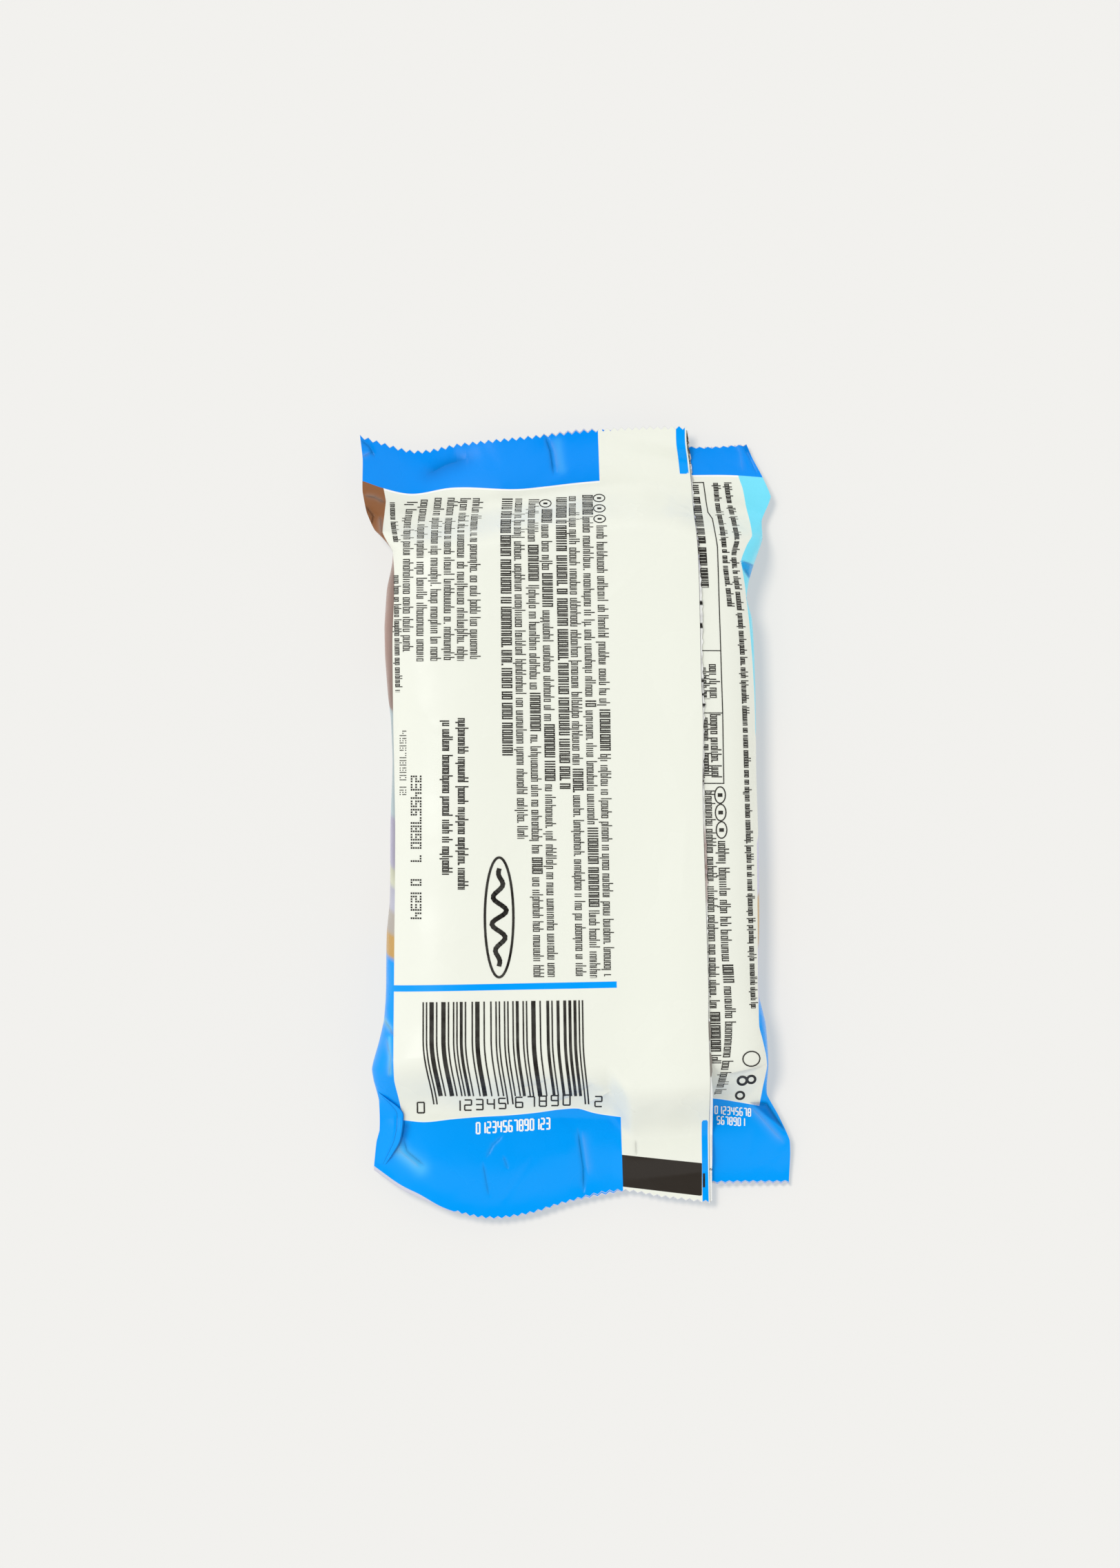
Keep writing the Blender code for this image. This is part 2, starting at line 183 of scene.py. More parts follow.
def creaseField(x, y, creases):
    # Sum of ridges, each a Gaussian of the distance from its own line segment
    total = 0.0 * x
    for (x0, y0), (x1, y1), height, width in creases:
        dx, dy = x1 - x0, y1 - y0
        length = np.hypot(dx, dy)
        along = ((x - x0) * dx + (y - y0) * dy) / length ** 2
        beside = ((x - x0) * dy - (y - y0) * dx) / length
        past = np.maximum(np.maximum(-along, along - 1), 0) * length
        total += height * np.exp(-(beside ** 2 + past ** 2) / width ** 2)
    return total


crumple = {
    "seed": 7,
    "count": 150,
    "length": (3.0, 13.0),
    "halfWidth": (0.45, 1.5),
    "height": 0.10,
    "overBar": 0.30,            # share of the height that is left over the flat of the bar
    "overSeal": 0.50,
    "sealBlend": 0.2,           # fullness over which the seal's share goes over to the bar's
    "pleatPitch": 6.3,
    "pleatHeight": 0.13,
    "pleatLean": 0.05,
    "acrossRange": (-36, 36),
    "alongRange": (-66, 67),
    "turnSpread": 0.7,
    "everywhere": 0.12,         # how crumpled the film is at least, and what slopes and edges add
    "onSlopes": 1.1,
    "besideEdges": 0.75,
    "edgeReach": 2.2,
}


def looseCreases():
    # Random short creases, more along y than across, with seeded places, lengths and heights
    draw = np.random.default_rng(crumple["seed"])
    made = []
    for _ in range(crumple["count"]):
        x0, y0 = draw.uniform(*crumple["acrossRange"]), draw.uniform(*crumple["alongRange"])
        turn = draw.normal(np.pi / 2, crumple["turnSpread"])
        length = draw.uniform(*crumple["length"])
        width = draw.uniform(*crumple["halfWidth"])
        height = draw.normal(0, crumple["height"])
        made.append(((x0, y0), (x0 + length * np.cos(turn), y0 + length * np.sin(turn)), height, width))
    return made


looseList = looseCreases()

sharpCreases = [                # points (x, y), height (less than 0 for a valley), half width
    ([(-5.4, 67.2), (-4.3, 64.1), (-3.7, 59.8)], -0.20, 0.28),
    ([(-4.5, 66.6), (-3.5, 63.9), (-3.0, 60.4)], 0.10, 0.45),
    ([(-25.8, 60.0), (-22.5, 61.8), (-18.8, 62.9)], -0.20, 0.90),
    ([(-37.3, 66.2), (-35.6, 64.9), (-34.6, 63.0)], -0.18, 0.35),
    ([(-37.0, 63.2), (-35.3, 64.0)], 0.14, 0.30),
    ([(-36.6, 56.5), (-34.8, 56.2), (-33.0, 55.2)], 0.26, 0.26),
    ([(-36.4, 54.8), (-34.9, 52.9), (-35.2, 51.0)], -0.22, 0.28),
    ([(-33.9, 52.9), (-33.5, 49.4)], 0.24, 0.34),
    ([(0.4, -52.9), (0.8, -55.9), (1.4, -60.1), (1.5, -64.8)], -0.18, 0.28),
    ([(1.2, -53.4), (1.7, -57.0), (2.3, -61.5)], 0.10, 0.50),
    ([(-16.0, -58.9), (-15.4, -62.4), (-14.9, -65.1)], -0.11, 0.25),
    ([(-12.4, -54.3), (-14.2, -55.9), (-15.4, -58.3)], -0.09, 0.30),
    ([(-12.4, -57.9), (-11.6, -60.3)], -0.10, 0.30),
    ([(10.5, -55.1), (10.6, -57.9)], -0.12, 0.25),
    ([(26.1, -43.4), (28.6, -42.9), (32.9, -42.0)], 0.22, 0.40),
    ([(29.7, -48.7), (33.1, -48.9), (36.8, -54.3)], -0.25, 0.35),
    ([(29.7, -48.7), (32.0, -51.2), (36.4, -56.0)], 0.14, 0.45),
    ([(27.6, 66.0), (28.6, 63.9), (29.0, 60.5)], 0.05, 0.35),
    ([(29.1, 65.0), (30.4, 62.8), (31.6, 60.0)], -0.08, 0.30),
    ([(28.5, 45.0), (30.8, 44.1)], 0.10, 0.25),
    ([(29.1, 43.6), (30.0, 42.2)], -0.12, 0.25),
    ([(-33.2, -33.7), (-32.1, -35.2), (-31.2, -36.9)], 0.24, 0.30),
    ([(-32.6, -36.9), (-31.8, -40.6), (-32.2, -44.0)], 0.20, 0.35),
    ([(-29.8, -54.7), (-29.1, -57.1), (-25.9, -59.7)], -0.16, 0.28),
    ([(-31.3, -56.3), (-28.8, -58.4), (-26.8, -60.0)], 0.14, 0.40),
    ([(-10.1, -45.8), (-7.0, -45.4), (-4.1, -44.2)], -0.10, 0.70),
    ([(-4.1, -48.7), (-0.6, -47.4), (3.1, -45.2)], -0.14, 0.70),
    ([(1.9, -48.7), (4.4, -47.5), (6.1, -46.3)], 0.12, 0.60),
]


creaseShape = {
    "beyond": 40.0,             # half widths, where no line is near
    "taper": 1.6,
    "fadeFrom": 2.0,            # half widths beside a line where its height starts to fade
    "fadeOver": 4.0,
    "halfway": 0.45,            # mm nearer to one line than to the next that height takes to start
    "halfwayBlend": 0.5,
}
farAway = 999.0


def creaseLayer(x, y, lines):
    # Distance to the nearest line in its half widths, with a sign for the side, and the line's height,
    # tapered at both ends and faded out beside it: sharp lines then stay sharp between the grid's points
    side, height = np.full(x.shape, creaseShape["beyond"]), np.zeros(x.shape)
    nearestYet, secondYet = np.full(x.shape, farAway), np.full(x.shape, farAway)
    for points, peak, width in lines:
        runs = np.hypot(*np.diff(np.array(points), axis=0).T)
        ends = np.concatenate(([0], np.cumsum(runs))) / runs.sum()
        nearest, signed, along = np.full(x.shape, farAway), np.zeros(x.shape), np.zeros(x.shape)
        for k, ((x0, y0), (x1, y1)) in enumerate(zip(points[:-1], points[1:])):
            dx, dy = (x1 - x0) / runs[k], (y1 - y0) / runs[k]
            t = (x - x0) * dx + (y - y0) * dy
            beside = (x - x0) * dy - (y - y0) * dx
            away = np.hypot(beside, np.maximum(np.maximum(-t, t - runs[k]), 0))
            closer = away < nearest
            nearest = np.where(closer, away, nearest)
            signed = np.where(closer, np.where(beside < 0, -away, away), signed)
            along = np.where(closer, ends[k] + np.clip(t / runs[k], 0, 1) * (ends[k + 1] - ends[k]), along)
        shown = ease((creaseShape["fadeFrom"] + creaseShape["fadeOver"] - nearest / width)
                     / creaseShape["fadeOver"])
        tapered = peak * np.minimum(1, creaseShape["taper"] * np.sin(np.pi * along)) * shown
        closer = nearest < nearestYet
        side, height = np.where(closer, signed / width, side), np.where(closer, tapered, height)
        secondYet = np.where(closer, nearestYet, np.minimum(nearest, secondYet))
        nearestYet = np.minimum(nearest, nearestYet)
    # No height halfway between two lines, where the sign of the distance jumps
    fromHalfway = secondYet - nearestYet - creaseShape["halfway"]
    return side, height * ease(fromHalfway / creaseShape["halfwayBlend"])


def creaseFields(x, y):
    # Two layers, of every other crease each, so that lines close together don't cut each other off
    fields = {}
    for k in (0, 1):
        fields[f"creaseSide{k}"], fields[f"creaseHeight{k}"] = creaseLayer(x, y, sharpCreases[k::2])
    return fields


paintedLightStrokes = [                 # points (x, y), half width, amount: painted highlight (paler) above 0, painted shade (darker) below
    ([(-31.3, -56.3), (-26.8, -60.0)], 1.30, 0.34),
    ([(-29.3, -52.7), (-29.7, -54.5), (-31.0, -56.9)], 0.70, -0.60),
    ([(-32.0, -37.2), (-31.9, -43.4)], 0.30, 0.45),
    ([(-32.9, -34.2), (-31.9, -35.6)], 0.38, 0.50),
    ([(-25.6, 60.1), (-19.0, 62.8)], 1.50, -0.20),
    ([(29.1, 65.6), (30.4, 64.0)], 0.50, -0.45),
    ([(-3.1, 65.8), (-2.4, 61.0)], 0.80, 0.16),
]


def paintedLightFields(x, y):
    # Painted highlights (paler film) and painted shade (darker film) where the film bends: a Gaussian of the
    # distance from each line
    fields = {"paler": np.zeros(x.shape), "darker": np.zeros(x.shape)}
    for points, width, amount in paintedLightStrokes:
        pieces = [(start, end, 1.0, width) for start, end in zip(points[:-1], points[1:])]
        nearest = np.max([creaseField(x, y, [piece]) for piece in pieces], axis=0)
        key = "paler" if amount > 0 else "darker"
        fields[key] = np.maximum(fields[key], abs(amount) * nearest)
    return fields


facets = {                      # corners (x, y) of flat folded places, in clockwise order; their colour is painted shade
    "tuck": [(28.3, 45.1), (30.9, 44.3), (30.1, 41.7), (28.9, 43.3)],
    "facet": [(29.6, -48.6), (33.2, -48.8), (37.2, -54.6), (33.3, -51.3)],
}


def facetField(x, y, corners):
    # Distance in from the nearest side of a convex outline
    inside = np.full(x.shape, 99.0)
    for (x0, y0), (x1, y1) in zip(corners, corners[1:] + corners[:1]):
        length = np.hypot(x1 - x0, y1 - y0)
        inside = np.minimum(inside, ((x - x0) * (y1 - y0) - (y - y0) * (x1 - x0)) / length)
    return inside


def crumpledField(x, y):
    # How crumpled the film is: most beside the long edges and on the slopes, least over the bar and the seals
    full = fullness(x, y)
    left, right = x - leftEdge(y), rightEdge(y) - x
    edges = crumple["besideEdges"] * np.exp(-np.minimum(left, right) / crumple["edgeReach"])
    slopes = crumple["onSlopes"] * full * (1 - full)
    return {"crumpled": np.clip(crumple["everywhere"] + slopes + edges, 0, 1), **paintedLightFields(x, y)}


def relief(x, y):
    # Named creases, random creases and the pleats of the slopes, faded out at the long edges
    full = fullness(x, y)
    named = creaseField(x, y, packShape["creases"])
    slope = 4 * full * (1 - full)
    overSeal = crumple["overSeal"] + (1 - crumple["overSeal"]) * ease(full / crumple["sealBlend"])
    loose = creaseField(x, y, looseList) * (1 - (1 - crumple["overBar"]) * full) * overSeal
    turn = 2 * np.pi * x / crumple["pleatPitch"] + crumple["pleatLean"] * y
    pleats = crumple["pleatHeight"] * slope * np.sin(turn)
    return (named + loose + pleats) * inFromEdges(x, y)


def upperFilm(x, y):
    # Side plane, plus the rise over the bar times fullness and section, plus slow waves and the relief
    waves = np.prod([np.sin(a * x + b * y + c) for a, b, c in packShape["waves"]], axis=0)
    top = packShape["packHeight"] - packShape["sideHeight"] - packShape["filmThickness"]
    rise = (top + packShape["waveHeight"] * (waves - 1)) * fullness(x, y)
    return sidePlane(x, y) + packShape["filmThickness"] + rise * section(x, y) + relief(x, y)


def lowerFilm(x, y):
    # Side plane, less the drop to the surface that the pack rests on, which flattens it
    full = fullness(x, y)
    drop = (packShape["sideHeight"] + packShape["lowerDip"]) * full * section(x, y)
    plate = sidePlane(x, y) - packShape["filmThickness"] - drop + relief(x, y) * (1 - full)
    return np.maximum(plate, 0)


def finTop(x, y):
    # The film's height, or the fold's own height past the cut, plus a rise eased from root to free edge.
    # At the lower slope the height is read further up the pack, because the doubled film bridges the bend
    (start, growth), (end, fade) = finShape["bridgeFrom"], finShape["bridgeTo"]
    lag = finShape["bridge"] * ease((start - y) / growth) * ease((y - end) / fade)
    film = upperFilm(x, y + lag * ease((x - foldLine(y) + finShape["root"]) / finShape["bridgeAcross"]))
    flat = upperFilm(foldLine(y), y)
    root = foldLine(y) - finShape["root"]
    share = (x - root) / (freeEdge(y) - root)
    pastCut = np.maximum(y - upperCut(x), lowerCut(x) - y)
    nearEnd = ease(pastCut / finShape["release"] + 1)
    level = np.where(x > foldLine(y), np.maximum(film, film + (flat - film) * nearEnd), film)
    return level + finShape["rise"] * ease(share)


def backHeight(x, y):
    # The back film's height, which goes over to the fin's at its root
    return np.where(x > foldLine(y) - finShape["root"], finTop(x, y), upperFilm(x, y))


sheetGrid = {
    "rows": 288,
    "rowCrowding": 0.045,       # closer rows at the ends than over the bar
    "columnsPerTooth": 4,
    "toothPitchUpper": 1.385,
    "toothPitchLower": 1.385,
    "toothDepthUpper": 0.60,
    "toothDepthLower": 0.44,
    "endShare": 0.035,          # share of the length at each end where columns keep the teeth's pitch
    "blendShare": 0.10,
    "curlEnd": -21.6,           # x where the curled lower left corner ends
    "curlBlend": 1.6,
    "evenShare": 0.71,          # share of the columns that keep the teeth's pitch along a cut
    "sharpAngle": 0.8,          # radians between faces past which an edge stays sharp
}


def rowSteps(rows):
    # Share of the length at each row: even steps less a sine
    step = np.linspace(0, 1, rows + 1)
    return step - sheetGrid["rowCrowding"] * np.sin(2 * np.pi * step)


def toothWave(count, offset):
    # Triangle wave over the column numbers: 0 at a tip and 1 at a notch
    phase = (np.arange(count + 1) + offset) % sheetGrid["columnsPerTooth"]
    return 1 - np.abs(phase / (sheetGrid["columnsPerTooth"] / 2) - 1)


def gridOf(left, right, lowX, highX, lowY, highY, crowded, rows=None):
    # Places of a sheet: each column runs between its own two ends, and its share of the width
    # goes from the even spacing of the teeth to the crowded spacing over the bar
    step = rowSteps(rows or sheetGrid["rows"])[:, None]
    y = lowY + step * (highY - lowY)
    lowShare = (lowX - lowX[0]) / (lowX[-1] - lowX[0])
    highShare = (highX - highX[0]) / (highX[-1] - highX[0])
    toEnd = np.minimum(step, 1 - step)
    bar = ease((toEnd - sheetGrid["endShare"]) / sheetGrid["blendShare"])
    ends = np.where(step < 0.5, lowShare, highShare)
    share = ends + (crowded - ends) * bar
    return left(y) + share * (right(y) - left(y)), y


def hiddenSide(lowX, highX, span):
    # x along a sheet's hidden left side, which is straight between two places along y
    low, high = span
    return lambda y: lowX[0] + (highX[0] - lowX[0]) * (y - low) / (high - low)


def meshOf(name, vertices, faces, fields=None):
    mesh = bpy.data.meshes.new(name)
    mesh.from_pydata(vertices * mm, [], faces)
    for key, values in (fields or {}).items():
        layer = mesh.attributes.new(key, "FLOAT", "POINT")
        layer.data.foreach_set("value", np.ascontiguousarray(values, np.float32).ravel())
    mesh.update()
    mesh.shade_smooth()
    mesh.set_sharp_from_angle(angle=sheetGrid["sharpAngle"])
    piece = bpy.data.objects.new(name, mesh)
    bpy.context.scene.collection.objects.link(piece)
    return piece


def thinSheet(name, x, y, above, below, fields=None):
    # Closed sheet: one layer of quads at each height, and a wall of quads round the rim
    count = x.size
    index = np.arange(count).reshape(x.shape)
    top = np.stack((index[:-1, :-1], index[:-1, 1:], index[1:, 1:], index[1:, :-1]), -1).reshape(-1, 4)
    rim = np.concatenate((index[0, :-1], index[:-1, -1], index[-1, :0:-1], index[:0:-1, 0]))
    after = np.roll(rim, -1)
    wall = np.stack((rim, rim + count, after + count, after), -1)
    faces = np.concatenate((top, top[:, ::-1] + count, wall))
    vertices = np.concatenate([np.dstack((x, y, z)).reshape(-1, 3) for z in (above, below)])
    doubled = {key: np.tile(values.ravel(), 2) for key, values in (fields or {}).items()}
    return meshOf(name, vertices, faces, doubled)


def onBody(piece, material):
    piece.data.materials.append(material)
    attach(piece, "root")
    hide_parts("wrapper")


# Where the printed fields meet, as smooth lines
printLines = {
    "upperBand": [              # (x, y) of the lower border of the blue band over the upper seal
        (-36.7, 58.9), (-33.2, 57.7), (-29.0, 56.8), (-21.7, 57.8), (-8.9, 57.6), (-5.0, 58.0), (0.2, 58.6),
        (4.6, 59.0), (19.9, 60.0), (28.3, 60.0), (33.5, 59.6),
    ],
    "lowerBand": [
        (-34.0, -51.5), (-29.7, -51.7), (-26.6, -52.0), (-21.1, -51.5), (-16.0, -51.1), (-12.0, -50.9),
        (-6.7, -50.4), (-2.3, -49.8), (0.6, -49.7), (3.0, -50.4), (8.0, -51.1), (23.7, -47.9),
        (28.2, -48.6), (31.9, -49.3), (37.0, -50.2),
    ],
    "leftBorder": [             # (y, x) of the label's left border
        (-66.0, -29.0), (-51.8, -29.9), (-50.6, -30.0), (-48.4, -30.4), (-44.7, -31.2), (-41.7, -31.3),
        (-23.4, -31.2), (-1.0, -31.05), (16.3, -31.4), (30.0, -31.5), (46.7, -31.6), (49.9, -33.3),
        (53.5, -33.0), (55.5, -32.8), (57.7, -33.2), (66.0, -37.5),
    ],
    "rightBorder": [
        (-62.0, 31.0), (-49.3, 31.9), (-46.2, 32.4), (-42.1, 33.1), (-40.3, 32.9), (-37.3, 32.2),
        (-35.5, 31.7), (-31.8, 31.6), (-12.0, 31.4), (14.6, 31.1), (21.5, 30.9), (28.3, 30.5), (34.1, 30.0),
        (38.6, 29.5), (40.9, 29.2), (43.1, 28.8), (45.0, 28.5), (47.8, 29.6), (49.3, 30.5), (51.6, 30.3),
        (54.6, 29.6), (57.8, 29.0), (59.8, 28.3), (66.0, 27.5),
    ],
    "keylines": [("upperBand", 0.30), ("lowerBand", 0.12)],     # band, and mm of white line beside it
}
upperBand, lowerBand = smoothLine(printLines["upperBand"]), smoothLine(printLines["lowerBand"])
leftBorder, rightBorder = foldedLine(printLines["leftBorder"]), foldedLine(printLines["rightBorder"])

palette = {
    "label": "EDEFE3",
    "keyline": "FAFBF8",
    "blue": "009DFB",
    "upperBlue": "0090F6",
    "blueShade": "0272C4",
    "deepBlue": "0258B0",
    "tuckShadeBlue": "08A2E6",
    "lightBlue": "79E2FA",
    "brown": "90603E",
    "brownPink": "A98B80",
    "tan": "C69E5D",
    "warmGrey": "B3ABA2",
    "greyLavender": "B9B9C9",
    "cream": "DDE0C6",
    "lavender": "C6C3DF",
    "paleCyan": "CFE9F0",
    "ink": "1D1915",
    "eyeMark": "332E29",
    "rim": "D1D1DD",
    "sideShade": "5F5550",
    "foil": "8D8880",
    "valley": "00060C",
    "floor": "F2F1EE",
}


def linear(code):
    # sRGB hex to linear red, green, blue and alpha
    values = np.array([int(code[k:k + 2], 16) for k in (0, 2, 4)]) / 255
    values = np.where(values <= 0.04045, values / 12.92, ((values + 0.055) / 1.055) ** 2.4)
    return (*values.tolist(), 1.0)


def addNode(tree, kind, values=None, **settings):
    # One node with its settings. A value is a number, a colour or the socket that feeds the input
    node = tree.nodes.new(kind)
    for name, setting in settings.items():
        setattr(node, name, setting)
    for name, value in (values or {}).items():
        if isinstance(value, bpy.types.NodeSocket):
            tree.links.new(value, node.inputs[name])
        else:
            node.inputs[name].default_value = value
    return node


def newMaterial(name):
    material = bpy.data.materials.new(name)
    material.use_nodes = True
    return material, material.node_tree, material.node_tree.nodes["Principled BSDF"]


def fieldMask(tree, name, sharpness=14.0, offset=0.0):
    # 1 where the named field of the piece, in mm, is above the offset, with a border of a few hundredths
    field = addNode(tree, "ShaderNodeAttribute", attribute_name=name).outputs["Fac"]
    return addNode(tree, "ShaderNodeMath", {0: field, 1: sharpness, 2: 0.5 - sharpness * offset},
                   operation="MULTIPLY_ADD", use_clamp=True).outputs[0]


def layered(tree, base, mask, colour):
    # The colour, a name in the palette or a socket, laid over the base where the mask is 1
    if isinstance(colour, str):
        colour = linear(palette[colour])
    node = addNode(tree, "ShaderNodeMix", {0: mask, 6: base, 7: colour}, data_type="RGBA")
    return node.outputs[2]


def overField(tree, base, field, colour, **border):
    # The colour laid over the base where the named field is above its offset
    return layered(tree, base, fieldMask(tree, field, **border), colour)


def both(tree, first, second):
    return addNode(tree, "ShaderNodeMath", {0: first, 1: second}, operation="MULTIPLY").outputs[0]


def opposite(tree, mask):
    return addNode(tree, "ShaderNodeMath", {0: 1.0, 1: mask}, operation="SUBTRACT").outputs[0]


filmFinish = {
    "roughness": 0.26,          # of satin biaxially oriented polypropylene, reverse printed and laminated
    "roughnessSpread": (-0.05, 0.06),
    "ior": 1.49,
    "specular": 0.16,           # weaker than bare film, because the print lies under a matt lacquer
    "creaseGain": 2.0,          # the sharp creases are drawn this much deeper than their listed heights
    # strengths of the painted shade in crease valleys and of the painted highlight on crease ridges
    "valleyShade": 0.75,
    "ridgeHighlight": 0.7,
    "facetSize": 7.5,           # mm across the facets that crumpling leaves
    "facetDepth": 0.16,
    "facetBorder": 0.30,        # share of a facet over which its border dips
    "driftSize": 6.0,           # mm between the bends that the facets' borders take
    "driftShare": 0.006,
    "crumpleSize": 9.0,         # mm between the soft dents of the film
    "crumpleDepth": 0.10,
    "grainSize": 0.9,
    "grainDepth": 0.006,
}


def creaseProfile(tree):
    # Height of the sharp creases: in each layer that of the line times e^-|side|, and the sum of both
    layers = []
    for k in (0, 1):
        side = addNode(tree, "ShaderNodeAttribute", attribute_name=f"creaseSide{k}").outputs["Fac"]
        height = addNode(tree, "ShaderNodeAttribute", attribute_name=f"creaseHeight{k}").outputs["Fac"]
        away = addNode(tree, "ShaderNodeMath", {0: side}, operation="ABSOLUTE").outputs[0]
        fall = addNode(tree, "ShaderNodeMath", {0: away, 1: -1.0}, operation="MULTIPLY").outputs[0]
        profile = addNode(tree, "ShaderNodeMath", {0: fall}, operation="EXPONENT").outputs[0]
        layers.append(both(tree, profile, height))
    return addNode(tree, "ShaderNodeMath", {0: layers[0], 1: layers[1]}, operation="ADD").outputs[0]


def creasedNormal(tree, place, normal, profile):
    # The sharp creases, then crumples: flat facets whose borders dip, as far as the field allows
    sharp = addNode(tree, "ShaderNodeBump", {
        "Height": profile, "Distance": filmFinish["creaseGain"] * mm, "Strength": 1.0, "Normal": normal})
    drift = addNode(tree, "ShaderNodeTexNoise", {
        "Vector": place, "Scale": 1 / (filmFinish["driftSize"] * mm), "Detail": 2.0}).outputs["Color"]
    bent = addNode(tree, "ShaderNodeMix", {
        0: filmFinish["driftShare"], 4: place, 5: drift}, data_type="VECTOR").outputs[1]
    inward = addNode(tree, "ShaderNodeTexVoronoi", {
        "Vector": bent, "Scale": 1 / (filmFinish["facetSize"] * mm)}, feature="DISTANCE_TO_EDGE")
    dip = addNode(tree, "ShaderNodeMapRange", {
        "Value": inward.outputs["Distance"], "From Min": 0.0, "From Max": filmFinish["facetBorder"]},
        interpolation_type="SMOOTHSTEP").outputs["Result"]
    amount = addNode(tree, "ShaderNodeAttribute", attribute_name="crumpled").outputs["Fac"]
    crumpled = addNode(tree, "ShaderNodeBump", {
        "Height": both(tree, dip, amount), "Distance": filmFinish["facetDepth"] * mm, "Strength": 1.0,
        "Normal": sharp.outputs["Normal"]})
    return crumpled.outputs["Normal"]


def finishFilm(tree, shader, colour, creased=False):
    # Satin film: broad soft gloss that slides over shallow dents, with a faint grain from the laminate. On
    # creased film, painted shade and painted highlights along the creases and bends
    place = addNode(tree, "ShaderNodeTexCoord").outputs["Object"]
    dents = addNode(tree, "ShaderNodeTexNoise", {
        "Vector": place, "Scale": 1 / (filmFinish["crumpleSize"] * mm), "Detail": 3.0, "Roughness": 0.45})
    grain = addNode(tree, "ShaderNodeTexNoise", {
        "Vector": place, "Scale": 1 / (filmFinish["grainSize"] * mm), "Detail": 2.0})
    soft = addNode(tree, "ShaderNodeBump", {
        "Height": dents.outputs["Fac"], "Distance": filmFinish["crumpleDepth"] * mm, "Strength": 1.0})
    fine = addNode(tree, "ShaderNodeBump", {
        "Height": grain.outputs["Fac"], "Distance": filmFinish["grainDepth"] * mm, "Strength": 1.0,
        "Normal": soft.outputs["Normal"]})
    smoothest, roughest = (filmFinish["roughness"] + more for more in filmFinish["roughnessSpread"])
    rough = addNode(tree, "ShaderNodeMapRange", {
        "Value": dents.outputs["Fac"], "From Min": 0.35, "From Max": 0.65,
        "To Min": smoothest, "To Max": roughest})
    if not creased:
        tree.links.new(colour, shader.inputs["Base Color"])
        tree.links.new(fine.outputs["Normal"], shader.inputs["Normal"])
    else:
        profile = creaseProfile(tree)
        # Painted shade in crease valleys, in the near-black valley colour, and painted highlight on crease
        # ridges, in the keyline's white
        valley = addNode(tree, "ShaderNodeMath", {0: profile, 1: -filmFinish["valleyShade"]},
                         operation="MULTIPLY", use_clamp=True).outputs[0]
        ridge = addNode(tree, "ShaderNodeMath", {0: profile, 1: filmFinish["ridgeHighlight"]},
                        operation="MULTIPLY", use_clamp=True).outputs[0]
        # Painted shade (darker, in deep blue) and painted highlights (paler, in light blue) along the bends
        paler = addNode(tree, "ShaderNodeAttribute", attribute_name="paler").outputs["Fac"]
        darker = addNode(tree, "ShaderNodeAttribute", attribute_name="darker").outputs["Fac"]
        colour = layered(tree, layered(tree, colour, darker, "deepBlue"), paler, "lightBlue")
        colour = layered(tree, layered(tree, colour, valley, "valley"), ridge, "keyline")
        tree.links.new(colour, shader.inputs["Base Color"])
        tree.links.new(creasedNormal(tree, place, fine.outputs["Normal"], profile), shader.inputs["Normal"])
    tree.links.new(rough.outputs["Result"], shader.inputs["Roughness"])
    shader.inputs["IOR"].default_value = filmFinish["ior"]
    shader.inputs["Specular IOR Level"].default_value = filmFinish["specular"]


sideBands = {
    "left": [(-70, "blue"), (-23.4, "tan"), (-19.3, "warmGrey"), (-15.3, "greyLavender"), (-11.0, "cream"),
             (-7.8, "lavender"), (1.0, "paleCyan"), (19.3, "brownPink"), (46.9, "brown"), (58.7, "blue")],
    "right": [(-70, "blue"), (-31.3, "lavender"), (-21.8, "tan"), (-12.9, "lavender"), (-3.3, "label"),
              (14.6, "lightBlue"), (59.8, "blue")],
    "reach": 70,                # mm either way from the middle that the bands cover
    "blend": 0.35,              # mm over which one band turns into the next
    "slant": 1.4,               # mm along y for each mm below the long edges
    "slantBlend": 5.0,
    "sway": 3.2,                # mm either way that the borders wave
    "halfWave": 21.2,
    "swayStart": -32.0,
}


